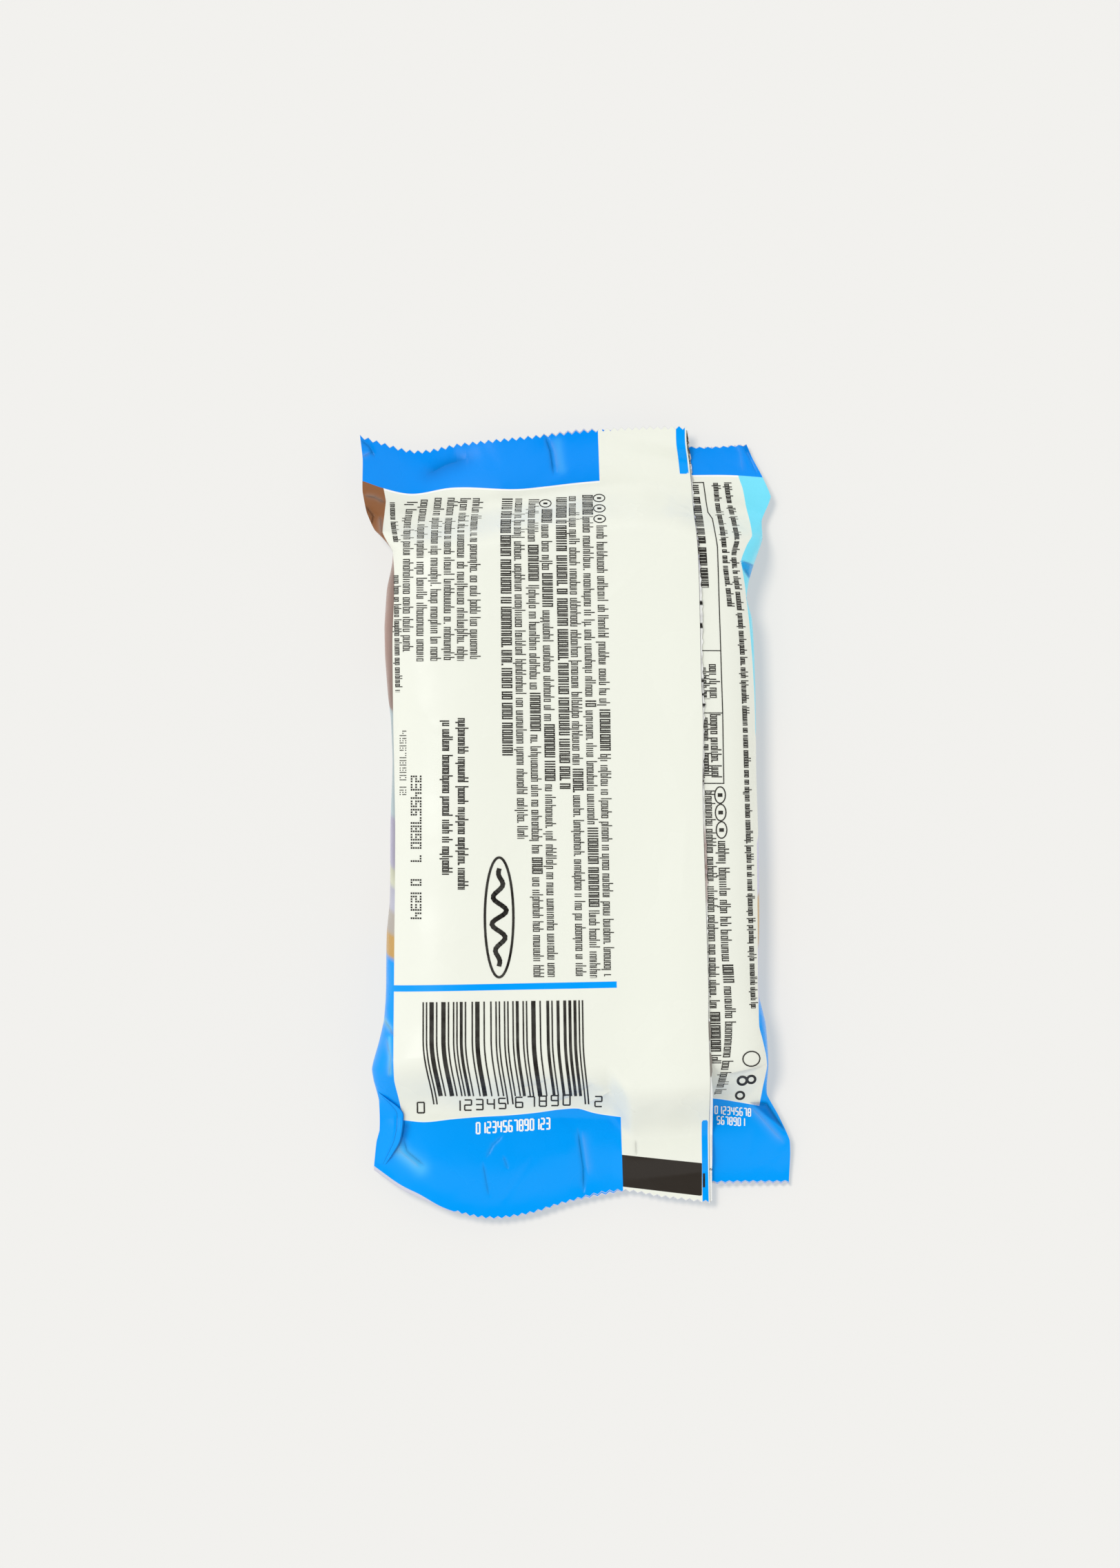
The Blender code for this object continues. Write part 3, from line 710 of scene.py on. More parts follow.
def bandsAlongY(tree, stops):
    # Flat bands of colour along the pack, from a list of (y where the band starts, colour)
    # Each border slants under the long edges and sways in three waves across the front
    reach, blend, slant, halfWave = (sideBands[key] for key in ("reach", "blend", "slant", "halfWave"))
    edge = packShape["sideHeight"] * mm
    place = addNode(tree, "ShaderNodeTexCoord").outputs["Object"]
    x, y, z = addNode(tree, "ShaderNodeSeparateXYZ", {0: place}).outputs
    turn = addNode(tree, "ShaderNodeMath", {
        0: x, 1: np.pi / (halfWave * mm), 2: -sideBands["swayStart"] / halfWave * np.pi},
        operation="MULTIPLY_ADD").outputs[0]
    sway = addNode(tree, "ShaderNodeMath", {0: turn}, operation="SINE").outputs[0]
    swayed = addNode(tree, "ShaderNodeMath", {
        0: sway, 1: sideBands["sway"] * mm, 2: y}, operation="MULTIPLY_ADD").outputs[0]
    under = addNode(tree, "ShaderNodeMath", {
        0: z, 1: edge, 2: sideBands["slantBlend"] * mm}, operation="SMOOTH_MIN").outputs[0]
    slanted = addNode(tree, "ShaderNodeMath", {
        0: under, 1: slant, 2: -slant * edge}, operation="MULTIPLY_ADD").outputs[0]
    level = addNode(tree, "ShaderNodeMath", {0: swayed, 1: slanted}, operation="ADD").outputs[0]
    share = addNode(tree, "ShaderNodeMapRange", {
        "Value": level, "From Min": -reach * mm, "From Max": reach * mm}).outputs["Result"]
    ramp = addNode(tree, "ShaderNodeValToRGB", {0: share})
    ramp.color_ramp.interpolation = "LINEAR"
    elements = ramp.color_ramp.elements
    places = []
    for k, (start, colour) in enumerate(stops):
        if k:
            places.append(((start - blend + reach) / (2 * reach), stops[k - 1][1]))
        places.append(((start + (blend if k else 0) + reach) / (2 * reach), colour))
    elements[0].position, elements[0].color = places[0][0], linear(palette[places[0][1]])
    elements[1].position, elements[1].color = places[-1][0], linear(palette[places[-1][1]])
    for position, colour in places[1:-1]:
        elements.new(position).color = linear(palette[colour])
    return ramp.outputs["Color"]


rimSharpness = 10.0             # softer than other borders, which have 14
# share of the painted shade laid over the dark facet
facetDim = 0.62


def keylines(tree, colour):
    # White lines along both blue bands
    for band, width in printLines["keylines"]:
        colour = overField(tree, colour, band, "keyline", offset=-width)
    return colour


def backFilmMaterial():
    # Printed polypropylene of the back: off-white label between blue bands, and the front's print at the left
    material, tree, shader = newMaterial("printedFilmBack")
    label = linear(palette["label"])
    printed = overField(tree, keylines(tree, label), "lowerBand", "blue")
    rule = both(tree, fieldMask(tree, "ruleLow"), fieldMask(tree, "ruleHigh"))
    printed = layered(tree, printed, rule, "blue")
    aside = opposite(tree, fieldMask(tree, "fromLeft"))
    # Painted shade on the side bands beside the label's left border
    beside = addNode(tree, "ShaderNodeAttribute", attribute_name="besideLabel").outputs["Fac"]
    side = layered(tree, bandsAlongY(tree, sideBands["left"]), beside, "sideShade")
    printed = layered(tree, printed, aside, side)
    printed = overField(tree, printed, "upperBand", "upperBlue")
    flap = overField(tree, label, "eyeMark", "eyeMark")
    flap = overField(tree, flap, "edgeStrip", "blue")
    printed = overField(tree, printed, "pastFold", flap)
    printed = overField(tree, printed, "cutRim", "rim", sharpness=rimSharpness)
    finishFilm(tree, shader, printed, creased=True)
    return material


def rightFilmMaterial():
    # The same film to the right of the fin
    material, tree, shader = newMaterial("printedFilmRight")
    printed = keylines(tree, linear(palette["label"]))
    aside = opposite(tree, fieldMask(tree, "fromRight"))
    printed = layered(tree, printed, aside, bandsAlongY(tree, sideBands["right"]))
    printed = overField(tree, printed, "upperBand", "upperBlue")
    printed = overField(tree, printed, "lowerBand", "blue")
    # Painted shade on the tuck and on the dark facet of the folded film
    printed = overField(tree, printed, "tuck", "tuckShadeBlue", sharpness=4.0)
    dim = both(tree, fieldMask(tree, "facet", sharpness=2.5, offset=0.1), facetDim)
    printed = layered(tree, printed, dim, "deepBlue")
    printed = overField(tree, printed, "cutRim", "rim", sharpness=rimSharpness)
    finishFilm(tree, shader, printed, creased=True)
    return material


def frontFilmMaterial():
    # The front's print: wavy bands that meet the colours of both sides
    material, tree, shader = newMaterial("printedFilmFront")
    left, right = bandsAlongY(tree, sideBands["left"]), bandsAlongY(tree, sideBands["right"])
    printed = overField(tree, left, "artRight", right)
    printed = overField(tree, printed, "upperBand", "upperBlue")
    printed = overField(tree, printed, "lowerBand", "blue")
    printed = overField(tree, printed, "cutRim", "rim", sharpness=rimSharpness)
    finishFilm(tree, shader, printed, creased=True)
    return material


def filmFields(x, y, own):
    # Fields of every sheet of film: mm into both blue bands, creases, crumples, painted highlights and
    # painted shade, and the sheet's own
    bands = {"upperBand": y - upperBand(x), "lowerBand": lowerBand(x) - y}
    return {**bands, **own, **creaseFields(x, y), **crumpledField(x, y)}


def endPlaces(first, last, columns, pitch, fromRight=False):
    # x of each column at a cut: a quarter of a tooth apart. They are counted back from the right end,
    # or on from the left end with the last ones spread evenly up to the right end
    step = pitch / sheetGrid["columnsPerTooth"]
    if fromRight:
        return last - (columns - np.arange(columns + 1)) * step
    x = first + np.arange(columns + 1) * step
    kept = int(columns * sheetGrid["evenShare"])
    x[kept:] = np.linspace(x[kept], last, columns + 1 - kept)
    return x


def uncurled(x):
    # 0 in the curled lower left corner, where the teeth don't show, and 1 past it
    return ease((x - sheetGrid["curlEnd"]) / sheetGrid["curlBlend"])


eyeMark = {
    "foldX": 8.3,
    "high": (-57.75, -0.105),   # y at the fold, and how much it changes for each mm to the right
    "low": (-63.35, -0.115),
    "rightX": 21.95,
}


def eyeMarkField(x, y):
    # Distance in from the edges of the dark register mark on the fin
    (high, highTilt), (low, lowTilt), past = eyeMark["high"], eyeMark["low"], x - eyeMark["foldX"]
    return np.minimum(np.minimum(high + past * highTilt - y, y - low - past * lowTilt), eyeMark["rightX"] - x)


backPanel = {
    "columns": 168,
    "crowding": 0.216,          # closer columns at the right than at the left
    "lowEnds": (-34.9, 23.3),   # x of both ends of the lower cut
    "highEnds": (-37.3, 19.2),
    "lowShift": -0.45,          # mm that the lower cut moves along y
    "rule": (-29.25, -28.15),   # y of both edges of the blue rule
    "ruleTilt": 0.02,
    "ruleX": -31,
    # painted shade beside the label: amount, mm before the border where it starts, mm over which it grows,
    # then y and blend at each end
    "shade": (0.55, 1.3, 1.2, -14, 8, 46, 4),
    # nearest and farthest mm from the free edge, y where it starts, 1 for up the pack and -1 for down
    "edgeStrips": [(0.25, 1.80, 60.2, 1), (0.18, 1.25, -51.6, -1)],
    "rim": (0.05, 0.09),        # mm of bare edge at the upper and the lower cut
    "curledRim": (0.45, -23, 5),    # mm more in the curled corner, x where that starts, mm of growth
}


def edgeStrips(y, inFromFree):
    # Distance in from the outline of the nearer blue strip along the fin's free edge
    return np.max([np.minimum(np.minimum(far - inFromFree, inFromFree - near), way * (y - start))
                   for near, far, start, way in backPanel["edgeStrips"]], axis=0)


def shadeBeside(x, y):
    # Painted brownish shade beside the label's left border, faded out towards both ends
    amount, before, width, low, lowBlend, high, highBlend = backPanel["shade"]
    across = np.clip((x - leftBorder(y) + before) / width, 0, 1)
    return amount * across * ease((y - low) / lowBlend) * ease((high - y) / highBlend)


def makeBackPanel():
    # The back film from the left edge over the fold to the fin's free edge, as one sheet
    columns = backPanel["columns"]
    lowX = np.linspace(*backPanel["lowEnds"], columns + 1)
    highX = endPlaces(*backPanel["highEnds"], columns, sheetGrid["toothPitchUpper"])
    tooth = toothWave(columns, 0)
    lowY = backLowerCut(lowX) + backPanel["lowShift"] + sheetGrid["toothDepthLower"] * tooth * uncurled(lowX)
    highY = backUpperCut(highX) - sheetGrid["toothDepthUpper"] * tooth
    t = np.linspace(0, 1, columns + 1)
    crowded = t - backPanel["crowding"] * np.sin(np.pi * t) * (1 - t) ** 2
    x, y = gridOf(leftEdge, freeEdge, lowX, highX, lowY, highY, crowded)
    z = backHeight(x, y)
    (ruleLow, ruleHigh), spread = backPanel["rule"], backPanel["ruleTilt"] * (x - backPanel["ruleX"])
    upperRim, lowerRim = backPanel["rim"]
    curled, curlStart, curlBlend = backPanel["curledRim"]
    fields = filmFields(x, y, {
        "ruleLow": y - ruleLow - spread,
        "ruleHigh": ruleHigh + spread - y,
        "fromLeft": x - leftBorder(y),
        "besideLabel": shadeBeside(x, y),
        "pastFold": x - foldLine(y),
        "eyeMark": eyeMarkField(x, y),
        "edgeStrip": edgeStrips(y, freeEdge(y) - x),
        "cutRim": np.maximum(y - highY + upperRim,
                             lowY + lowerRim + curled * ease((curlStart - x) / curlBlend) - y),
    })
    thickness = np.where(x > foldLine(y), finShape["thickness"], packShape["filmThickness"])
    piece = thinSheet("backPanel", x, y, z, z - thickness, fields)
    onBody(piece, backFilmMaterial())


rightPanel = {
    "columns": 72,
    "crowding": 0.12,
    "lowEnds": (12, 37.1),
    "highEnds": (6, 29.7),
    "lowShift": -0.3,
    "toothShares": (0.7, 0.5),  # shares of the teeth's depth at the lower and the upper cut
    "startSpan": (-62, 66),     # y between which its hidden left side runs straight
    "rim": (0.06, 0.09),
}


def makeRightPanel():
    # The back film to the right of the fin, starting under it
    columns = rightPanel["columns"]
    lowX = endPlaces(*rightPanel["lowEnds"], columns, sheetGrid["toothPitchLower"], fromRight=True)
    highX = endPlaces(*rightPanel["highEnds"], columns, sheetGrid["toothPitchUpper"], fromRight=True)
    tooth = toothWave(columns, 0)
    lowShare, highShare = rightPanel["toothShares"]
    lowY = lowerCut(lowX) + rightPanel["lowShift"] + sheetGrid["toothDepthLower"] * tooth * lowShare
    highY = upperCut(highX) - sheetGrid["toothDepthUpper"] * tooth * highShare
    t = np.linspace(0, 1, columns + 1)
    crowded = t + rightPanel["crowding"] * np.sin(np.pi * t) * t ** 2
    start = hiddenSide(lowX, highX, rightPanel["startSpan"])
    x, y = gridOf(start, rightEdge, lowX, highX, lowY, highY, crowded)
    z = upperFilm(x, y)
    upperRim, lowerRim = rightPanel["rim"]
    fields = filmFields(x, y, {
        "fromRight": rightBorder(y) - x,
        "tuck": facetField(x, y, facets["tuck"]),
        "facet": facetField(x, y, facets["facet"]),
        "cutRim": np.maximum(y - highY + upperRim, lowY + lowerRim - y),
    })
    piece = thinSheet("rightPanel", x, y, z, z - packShape["filmThickness"], fields)
    onBody(piece, rightFilmMaterial())


frontPanel = {
    "columns": 208,
    "rows": 226,
    "crowding": 0.055,
    "lowEnds": (-34.9, 37.1),
    "highEnds": (-37.3, 29.7),
    "lowShift": -0.62,
    "highShift": 0.02,
    "rim": (0.20, 0.20),
    "artWave": (9, 17, 0.6),    # mm of sway, mm of y for a radian, phase
    "artLean": 0.12,
}


def makeFrontPanel():
    # The front film, which carries the pack and meets the back film at both edges
    columns = frontPanel["columns"]
    lowX = endPlaces(*frontPanel["lowEnds"], columns, sheetGrid["toothPitchLower"])
    highX = endPlaces(*frontPanel["highEnds"], columns, sheetGrid["toothPitchUpper"])
    tooth = toothWave(columns, 0)
    lowY = lowerCut(lowX) + sheetGrid["toothDepthLower"] * tooth * uncurled(lowX) + frontPanel["lowShift"]
    highY = upperCut(highX) - sheetGrid["toothDepthUpper"] * tooth + frontPanel["highShift"]
    t = np.linspace(0, 1, columns + 1)
    crowded = t + frontPanel["crowding"] * np.sin(2 * np.pi * t)
    x, y = gridOf(leftEdge, rightEdge, lowX, highX, lowY, highY, crowded, rows=frontPanel["rows"])
    z = lowerFilm(x, y)
    upperRim, lowerRim = frontPanel["rim"]
    sway, radian, phase = frontPanel["artWave"]
    fields = filmFields(x, y, {
        "artRight": x - sway * np.sin(y / radian + phase) - frontPanel["artLean"] * y,
        "cutRim": np.maximum(y - highY + upperRim, lowY + lowerRim - y),
    })
    piece = thinSheet("frontPanel", x, y, z + packShape["filmThickness"], z, fields)
    onBody(piece, frontFilmMaterial())


finUnderPly = {
    "thickness": 0.12,
    "columns": 60,
    "lowEnds": (10.5, 23.9),    # x of both ends of the lower cut
    "highEnds": (6.0, 19.6),
    "startSpan": (-64, 68),     # y between which its hidden left side runs straight
    "shortBy": 0.3,             # mm that it ends before the first ply at both cuts
    "toothShare": 0.4,
    "leastShown": 0.02,
    "gap": 0.03,                # mm under the first ply
    "heightInset": 0.05,        # mm in from the free edge, where the height of what shows is read
    "sag": 0.25,                # mm that its edge hangs
    "sagOver": (-0.4, 0.8),     # mm past the free edge where that starts, and mm over which it grows
    "ragged": 0.16,             # mm that the torn edge wanders
    "raggedWaves": [(1.0, 2.9, 0.0), (0.8, 5.3, 1.0), (0.6, 8.7, 2.0)],   # share, radians per mm, phase
    "raggedFrom": (-45, 4),     # y where that starts, and mm over which it grows
    "whiteBelow": -43.0,
    "showsBeyond": [            # (y, mm that the lower ply shows past the free edge)
        (-66, 0.42), (-46, 0.42), (-44, 0.26), (-43.2, 0.34), (-40.4, 0.40), (-39, 0.14), (-38, 0.14),
        (-37.2, 0.32), (-34.9, 0.38), (-33.6, 0.14), (-31.5, 0.12), (-20, 0.14), (-13, 0.34), (-3, 0.42),
        (1, 0.22), (4, 0.26), (10, 0.24), (19, 0.30), (20, 0.42), (22, 0.36), (24.3, 0.42), (28, 0.30),
        (33.7, 0.50), (37.6, 0.50), (41, 0.38), (47, 0.22), (52, 0.16), (57, 0.26), (60, 0.34), (66, 0.36),
        (69, 0.20),
    ],
    # (y, half length) of painted shadow where the fin's edge lifts
    "darkSpots": [(37.6, 0.38), (33.7, 0.46), (24.3, 0.36), (21.9, 0.24), (20.0, 0.36), (-60.3, 0.20)],
    "greySpots": [(-35.9, 1.70), (-41.7, 2.10)],    # (y, half length)
    "bronzeSpots": [(-7.5, 6.5)],
}


def spotField(y, spots):
    # Distance in from the end of the nearest spot along the edge
    return np.max([half - np.abs(y - middle) for middle, half in spots], axis=0)


def raggedEdge(y):
    # Three waves of unlike pitch, which give an edge with small tabs and bites
    shares, turns, phases = np.array(finUnderPly["raggedWaves"]).T
    waves = sum(share * np.sin(turn * y + phase) for share, turn, phase in zip(shares, turns, phases))
    start, blend = finUnderPly["raggedFrom"]
    return finUnderPly["ragged"] * waves / shares.sum() * ease((y - start) / blend)


foilFinish = {
    "roughness": 0.34,
    "metallic": 0.25,           # little, because the lacquer scatters most of the light
    "speckSize": 0.9,
    "specks": [(0.42, "eyeMark"), (0.60, "rim"), (0.50, "foil")],   # noise value and its colour
    "paleSize": 6.0,
    "pale": (0.42, 0.56),       # noise values between which the foil turns to white ply
    "bronze": 0.65,
    "gapShade": 0.75,
    "gapSpan": (-0.05, 0.09),   # mm past the free edge between which the painted shadow of the gap shows
}


def foilMaterial():
    # Inner face of the film at the fin: vacuum aluminium under seal lacquer, creased and speckled dark, with
    # painted shadow in the gap along the fin's free edge and in dark spots where that edge lifts
    material, tree, shader = newMaterial("metallisedInside")
    place = addNode(tree, "ShaderNodeTexCoord").outputs["Object"]
    specks = addNode(tree, "ShaderNodeTexNoise", {
        "Vector": place, "Scale": 1 / (foilFinish["speckSize"] * mm), "Detail": 3.0})
    spans = addNode(tree, "ShaderNodeTexNoise", {
        "Vector": place, "Scale": 1 / (foilFinish["paleSize"] * mm), "Detail": 1.0})
    ramp = addNode(tree, "ShaderNodeValToRGB", {0: specks.outputs["Fac"]})
    elements = ramp.color_ramp.elements
    (darkest, dark), (palest, pale), (middle, grey) = foilFinish["specks"]
    elements[0].position, elements[0].color = darkest, linear(palette[dark])
    elements[1].position, elements[1].color = palest, linear(palette[pale])
    elements.new(middle).color = linear(palette[grey])
    bare = addNode(tree, "ShaderNodeMapRange", {
        "Value": spans.outputs["Fac"], "From Min": foilFinish["pale"][0], "From Max": foilFinish["pale"][1]})
    colour = layered(tree, ramp.outputs["Color"], bare.outputs["Result"], "keyline")
    bronze = both(tree, fieldMask(tree, "bronzeSpot", sharpness=0.5), foilFinish["bronze"])
    colour = layered(tree, colour, bronze, "brownPink")
    colour = overField(tree, colour, "whitePly", "keyline", sharpness=2.0)
    # Painted shadow in the gap under the fin's free edge, in the eye mark's dark colour
    inside, past = (fieldMask(tree, "pastFree", offset=edge) for edge in foilFinish["gapSpan"])
    gap = both(tree, inside, opposite(tree, past))
    colour = layered(tree, colour, both(tree, gap, foilFinish["gapShade"]), "eyeMark")
    colour = overField(tree, colour, "greySpot", "foil", sharpness=3.0)
    # Painted shadow in dark spots under the lifted edge, in the ink's colour
    colour = overField(tree, colour, "darkSpot", "ink", sharpness=5.0)
    tree.links.new(colour, shader.inputs["Base Color"])
    shader.inputs["Roughness"].default_value = foilFinish["roughness"]
    shader.inputs["Metallic"].default_value = foilFinish["metallic"]
    return material


def makeFinUnderPly():
    # The fin's second layer: under the first one, from the fold to a little past its free edge
    ply = finUnderPly
    columns = ply["columns"]
    shows = smoothLine(ply["showsBeyond"])
    lowX, highX = (np.linspace(*ply[ends], columns + 1) for ends in ("lowEnds", "highEnds"))
    tooth = toothWave(columns, 2)
    lowY = backLowerCut(lowX) + sheetGrid["toothDepthLower"] * tooth - ply["shortBy"]
    cutDepth = sheetGrid["toothDepthUpper"] * (1 - ply["toothShare"] + ply["toothShare"] * tooth)
    highY = backUpperCut(highX) - cutDepth - ply["shortBy"]

    def beyond(y):
        return freeEdge(y) + np.maximum(shows(y) + raggedEdge(y), ply["leastShown"])

    t = np.linspace(0, 1, columns + 1)
    start = hiddenSide(lowX, highX, ply["startSpan"])
    x, y = gridOf(start, beyond, lowX, highX, lowY, highY, t)
    z = finTop(np.minimum(x, freeEdge(y) - ply["heightInset"]), y) - finShape["thickness"] - ply["gap"]
    sagStart, sagLength = ply["sagOver"]
    z = z - ply["sag"] * ease((x - freeEdge(y) - sagStart) / sagLength)
    fields = {
        "whitePly": ply["whiteBelow"] - y,
        "pastFree": x - freeEdge(y),
        **{f"{kind}Spot": spotField(y, ply[f"{kind}Spots"]) for kind in ("dark", "grey", "bronze")},
    }
    piece = thinSheet("finUnderPly", x, y, z, z - ply["thickness"], fields)
    onBody(piece, foilMaterial())


gussetShape = {
    "innerEdge": [              # (y, x)
        (-59.4, -32.8), (-57.3, -31.4), (-55.6, -30.4), (-53.6, -29.9), (-51.6, -29.7), (-50.3, -29.8),
        (-49.2, -30.8), (-48.0, -32.4), (-46.6, -34.2),
    ],
    "rise": 0.42,
    "rows": 60,
    "columns": 14,
    "thickness": 0.10,
    "lift": 0.04,
    "inset": 0.15,              # mm that its outer side lies in from the long edge
    "narrowest": 0.12,
    "tipShare": 0.12,           # share of its length at each tip over which it lies down
    "weldDepth": 0.16,
    "weldAt": 0.7,              # share of its width where the weld lies
    "weldWidth": 0.05,
    "across": 3.2,              # mm across, as its own lines are drawn
    "seam": (0.72, 0.05),       # share of its width, and half width in mm, of the darker line
    "rimLine": 3.05,            # mm from its outer side where its dark rim starts
}


def makeGusset():
    # The tucked layer over the lower left corner: it follows the film and lifts towards its inner edge
    inner = smoothLine(gussetShape["innerEdge"])
    low, high = gussetShape["innerEdge"][0][0], gussetShape["innerEdge"][-1][0]
    share, step = np.meshgrid(np.linspace(0, 1, gussetShape["columns"] + 1),
                              np.linspace(0, 1, gussetShape["rows"] + 1))
    y = low + step * (high - low)
    outer = leftEdge(y) + gussetShape["inset"]
    x = outer + share * np.maximum(inner(y) - outer, gussetShape["narrowest"])
    tips = ease(step / gussetShape["tipShare"]) * ease((1 - step) / gussetShape["tipShare"])
    fromWeld = (share - gussetShape["weldAt"]) / gussetShape["weldWidth"]
    weld = gussetShape["weldDepth"] * np.exp(-fromWeld ** 2)
    z = upperFilm(x, y) + gussetShape["lift"] + tips * (gussetShape["rise"] * ease(share) - weld)
    (seamAt, seamHalf), wide = gussetShape["seam"], gussetShape["across"]
    fields = {
        "seam": seamHalf - np.abs(share - seamAt) * wide,
        "rimLine": share * wide - gussetShape["rimLine"],
    }
    piece = thinSheet("gusset", x, y, z, z - gussetShape["thickness"], fields)
    onBody(piece, gussetMaterial())


def gussetMaterial():
    # The same printed film, seen on the tucked layer, with a darker line where it is welded
    material, tree, shader = newMaterial("printedFilmGusset")
    colour = linear(palette["blue"])
    for line in ("seam", "rimLine"):
        colour = overField(tree, colour, line, "blueShade", sharpness=20.0)
    finishFilm(tree, shader, colour)
    return material


inkLayer = {
    "lift": 0.05,
    "sunk": 0.03,
    "step": 0.40,               # mm between the places where a bar can bend with the film
    "roughness": 0.5,
    "specular": 0.12,
    "patchSize": 2.5,
    "thinnest": 0.05,           # share of the label that shows through where the ink is thin
}


def inkBars(name, heightAt, bars, material):
    # Each bar is a flat strip from (x0, y0) to (x1, y1) of its own width, laid on as a thin closed plate
    bars = np.array(bars, float)
    x0, y0, x1, y1, width = bars.T
    length = np.hypot(x1 - x0, y1 - y0)
    pieces = np.maximum(np.ceil(length / inkLayer["step"]).astype(int), 1)
    allVertices, allFaces, base = [], [], 0
    for count in np.unique(pieces):
        own = pieces == count
        t = np.linspace(0, 1, count + 1)[None, :, None]
        side = np.array([-0.5, 0.5])[None, None, :]
        dx, dy = (x1 - x0)[own] / length[own], (y1 - y0)[own] / length[own]
        startX, startY, alongX, alongY, besideX, besideY = (
            part[:, None, None] for part in (x0[own], y0[own], (x1 - x0)[own], (y1 - y0)[own],
                                             dy * width[own], dx * width[own]))
        x = startX + alongX * t - besideX * side
        y = startY + alongY * t + besideY * side
        z = heightAt(x, y)
        top = np.stack((x, y, z + inkLayer["lift"]), -1).reshape(-1, 3)
        low = np.stack((x, y, z - inkLayer["sunk"]), -1).reshape(-1, 3)
        index = base + np.arange(x.size).reshape(x.shape)
        under = x.size
        a, b, c, d = index[:, :-1, 0], index[:, 1:, 0], index[:, 1:, 1], index[:, :-1, 1]
        faces = [np.stack((a, b, c, d), -1), np.stack((d, c, b, a), -1) + under,
                 np.stack((a, a + under, b + under, b), -1), np.stack((c, c + under, d + under, d), -1)]
        faces = [group.reshape(-1, 4) for group in faces]
        start, end = index[:, 0], index[:, -1]
        faces.append(np.stack((start[:, 1], start[:, 1] + under, start[:, 0] + under, start[:, 0]), -1))
        faces.append(np.stack((end[:, 0], end[:, 0] + under, end[:, 1] + under, end[:, 1]), -1))
        allVertices += [top, low]
        allFaces += faces
        base += 2 * x.size
    onBody(meshOf(name, np.concatenate(allVertices), np.concatenate(allFaces)), material)


def inkMaterial(name, colour):
    # Gravure ink under the same satin film, a little uneven in density
    material, tree, shader = newMaterial(name)
    place = addNode(tree, "ShaderNodeTexCoord").outputs["Object"]
    density = addNode(tree, "ShaderNodeTexNoise", {
        "Vector": place, "Scale": 1 / (inkLayer["patchSize"] * mm), "Detail": 2.0})
    amount = addNode(tree, "ShaderNodeMapRange", {
        "Value": density.outputs["Fac"], "From Min": 0.3, "From Max": 0.7,
        "To Min": 0.0, "To Max": inkLayer["thinnest"]})
    mixed = layered(tree, linear(palette[colour]), amount.outputs["Result"], "label")
    tree.links.new(mixed, shader.inputs["Base Color"])
    shader.inputs["Roughness"].default_value = inkLayer["roughness"]
    shader.inputs["Specular IOR Level"].default_value = inkLayer["specular"]
    return material


typeStyle = {                   # of the placeholder text, as shares of the height of a small letter
    "advance": 0.52,
    "pair": 0.30,
    "wordGap": 0.42,
    "tall": 1.53,
    "tail": -0.36,
    "boldWidth": 1.16,
    "boldStroke": 1.38,
    "single": 0.62,             # share of the advance that a single stroke takes
    "joinStroke": 0.75,
    "dot": 1.3,                 # side of a full stop, in strokes
    "dotGap": 0.2,
    "letters": (2, 12),         # fewest in a word, and one more than the most
    "chances": (0.68, 0.27, 0.10),  # of a paired stroke, a tall one and one with a tail
    "twoJoins": 0.35,
    "footJoin": 0.5,
    "stop": 0.16,
    "narrowest": 0.3,
    "samples": 400,
}


def greekedLine(heightAt, path, first, last, draw, height, stroke, bold=0.0):
    # Placeholder text: words of single and paired upright strokes, some joined at an end, set at even steps
    # along the film, so that they close up where it slopes away
    style = typeStyle
    samples = np.linspace(first, last, style["samples"])
    rise = np.diff(heightAt(path(samples), samples))
    run = np.concatenate(([0], np.cumsum(np.hypot(np.diff(samples), rise))))
    strokes = []
    at = 0.0
    while at < run[-1]:
        letters = int(draw.integers(*style["letters"]))
        heavy = draw.random() < bold
        weight = stroke * (style["boldStroke"] if heavy else 1.0)
        width = style["boldWidth"] if heavy else 1.0
        advance, pair = height * style["advance"] * width, height * style["pair"] * width
        for _ in range(letters):
            paired, tall, tail = draw.random(3) < style["chances"]
            top = height * (style["tall"] if tall or heavy else 1.0)
            foot = height * (style["tail"] if tail and not heavy else 0.0)
            strokes.append((at, foot, at, top, weight))
            if paired:
                far, inner = at + pair, top if heavy else height
                strokes.append((far, 0.0, far, inner, weight))
                joins = (inner - weight / 2, weight / 2)
                if draw.random() >= style["twoJoins"]:
                    joins = joins[draw.random() < style["footJoin"]:][:1]
                for level in joins:
                    ends = (at + weight / 2, level, far - weight / 2, level)
                    strokes.append((*ends, weight * style["joinStroke"]))
            at += advance if paired else advance * style["single"]
        if draw.random() < style["stop"]:
            strokes.append((at, 0.0, at, weight * style["dot"], weight * style["dot"]))
            at += height * style["dotGap"]
        at += height * style["wordGap"]
    strokes = np.array(strokes)
    strokes = strokes[np.maximum(strokes[:, 0], strokes[:, 2]) < run[-1]]
    y0, y1 = np.interp(strokes[:, 0], run, samples), np.interp(strokes[:, 2], run, samples)
    ahead = 0.2                 # mm along the film over which its slope is taken
    squeeze = np.abs(np.interp(strokes[:, 0] + ahead, run, samples) - y0) / ahead
    upright = np.abs(strokes[:, 0] - strokes[:, 2]) < 1e-6
    width = strokes[:, 4] * np.where(upright, np.clip(squeeze, style["narrowest"], 1), 1)
    x0 = path(y0) + strokes[:, 1] - height / 2
    x1 = path(y1) + strokes[:, 3] - height / 2
    return np.stack((x0, y0, x1, y1, width), -1).tolist()


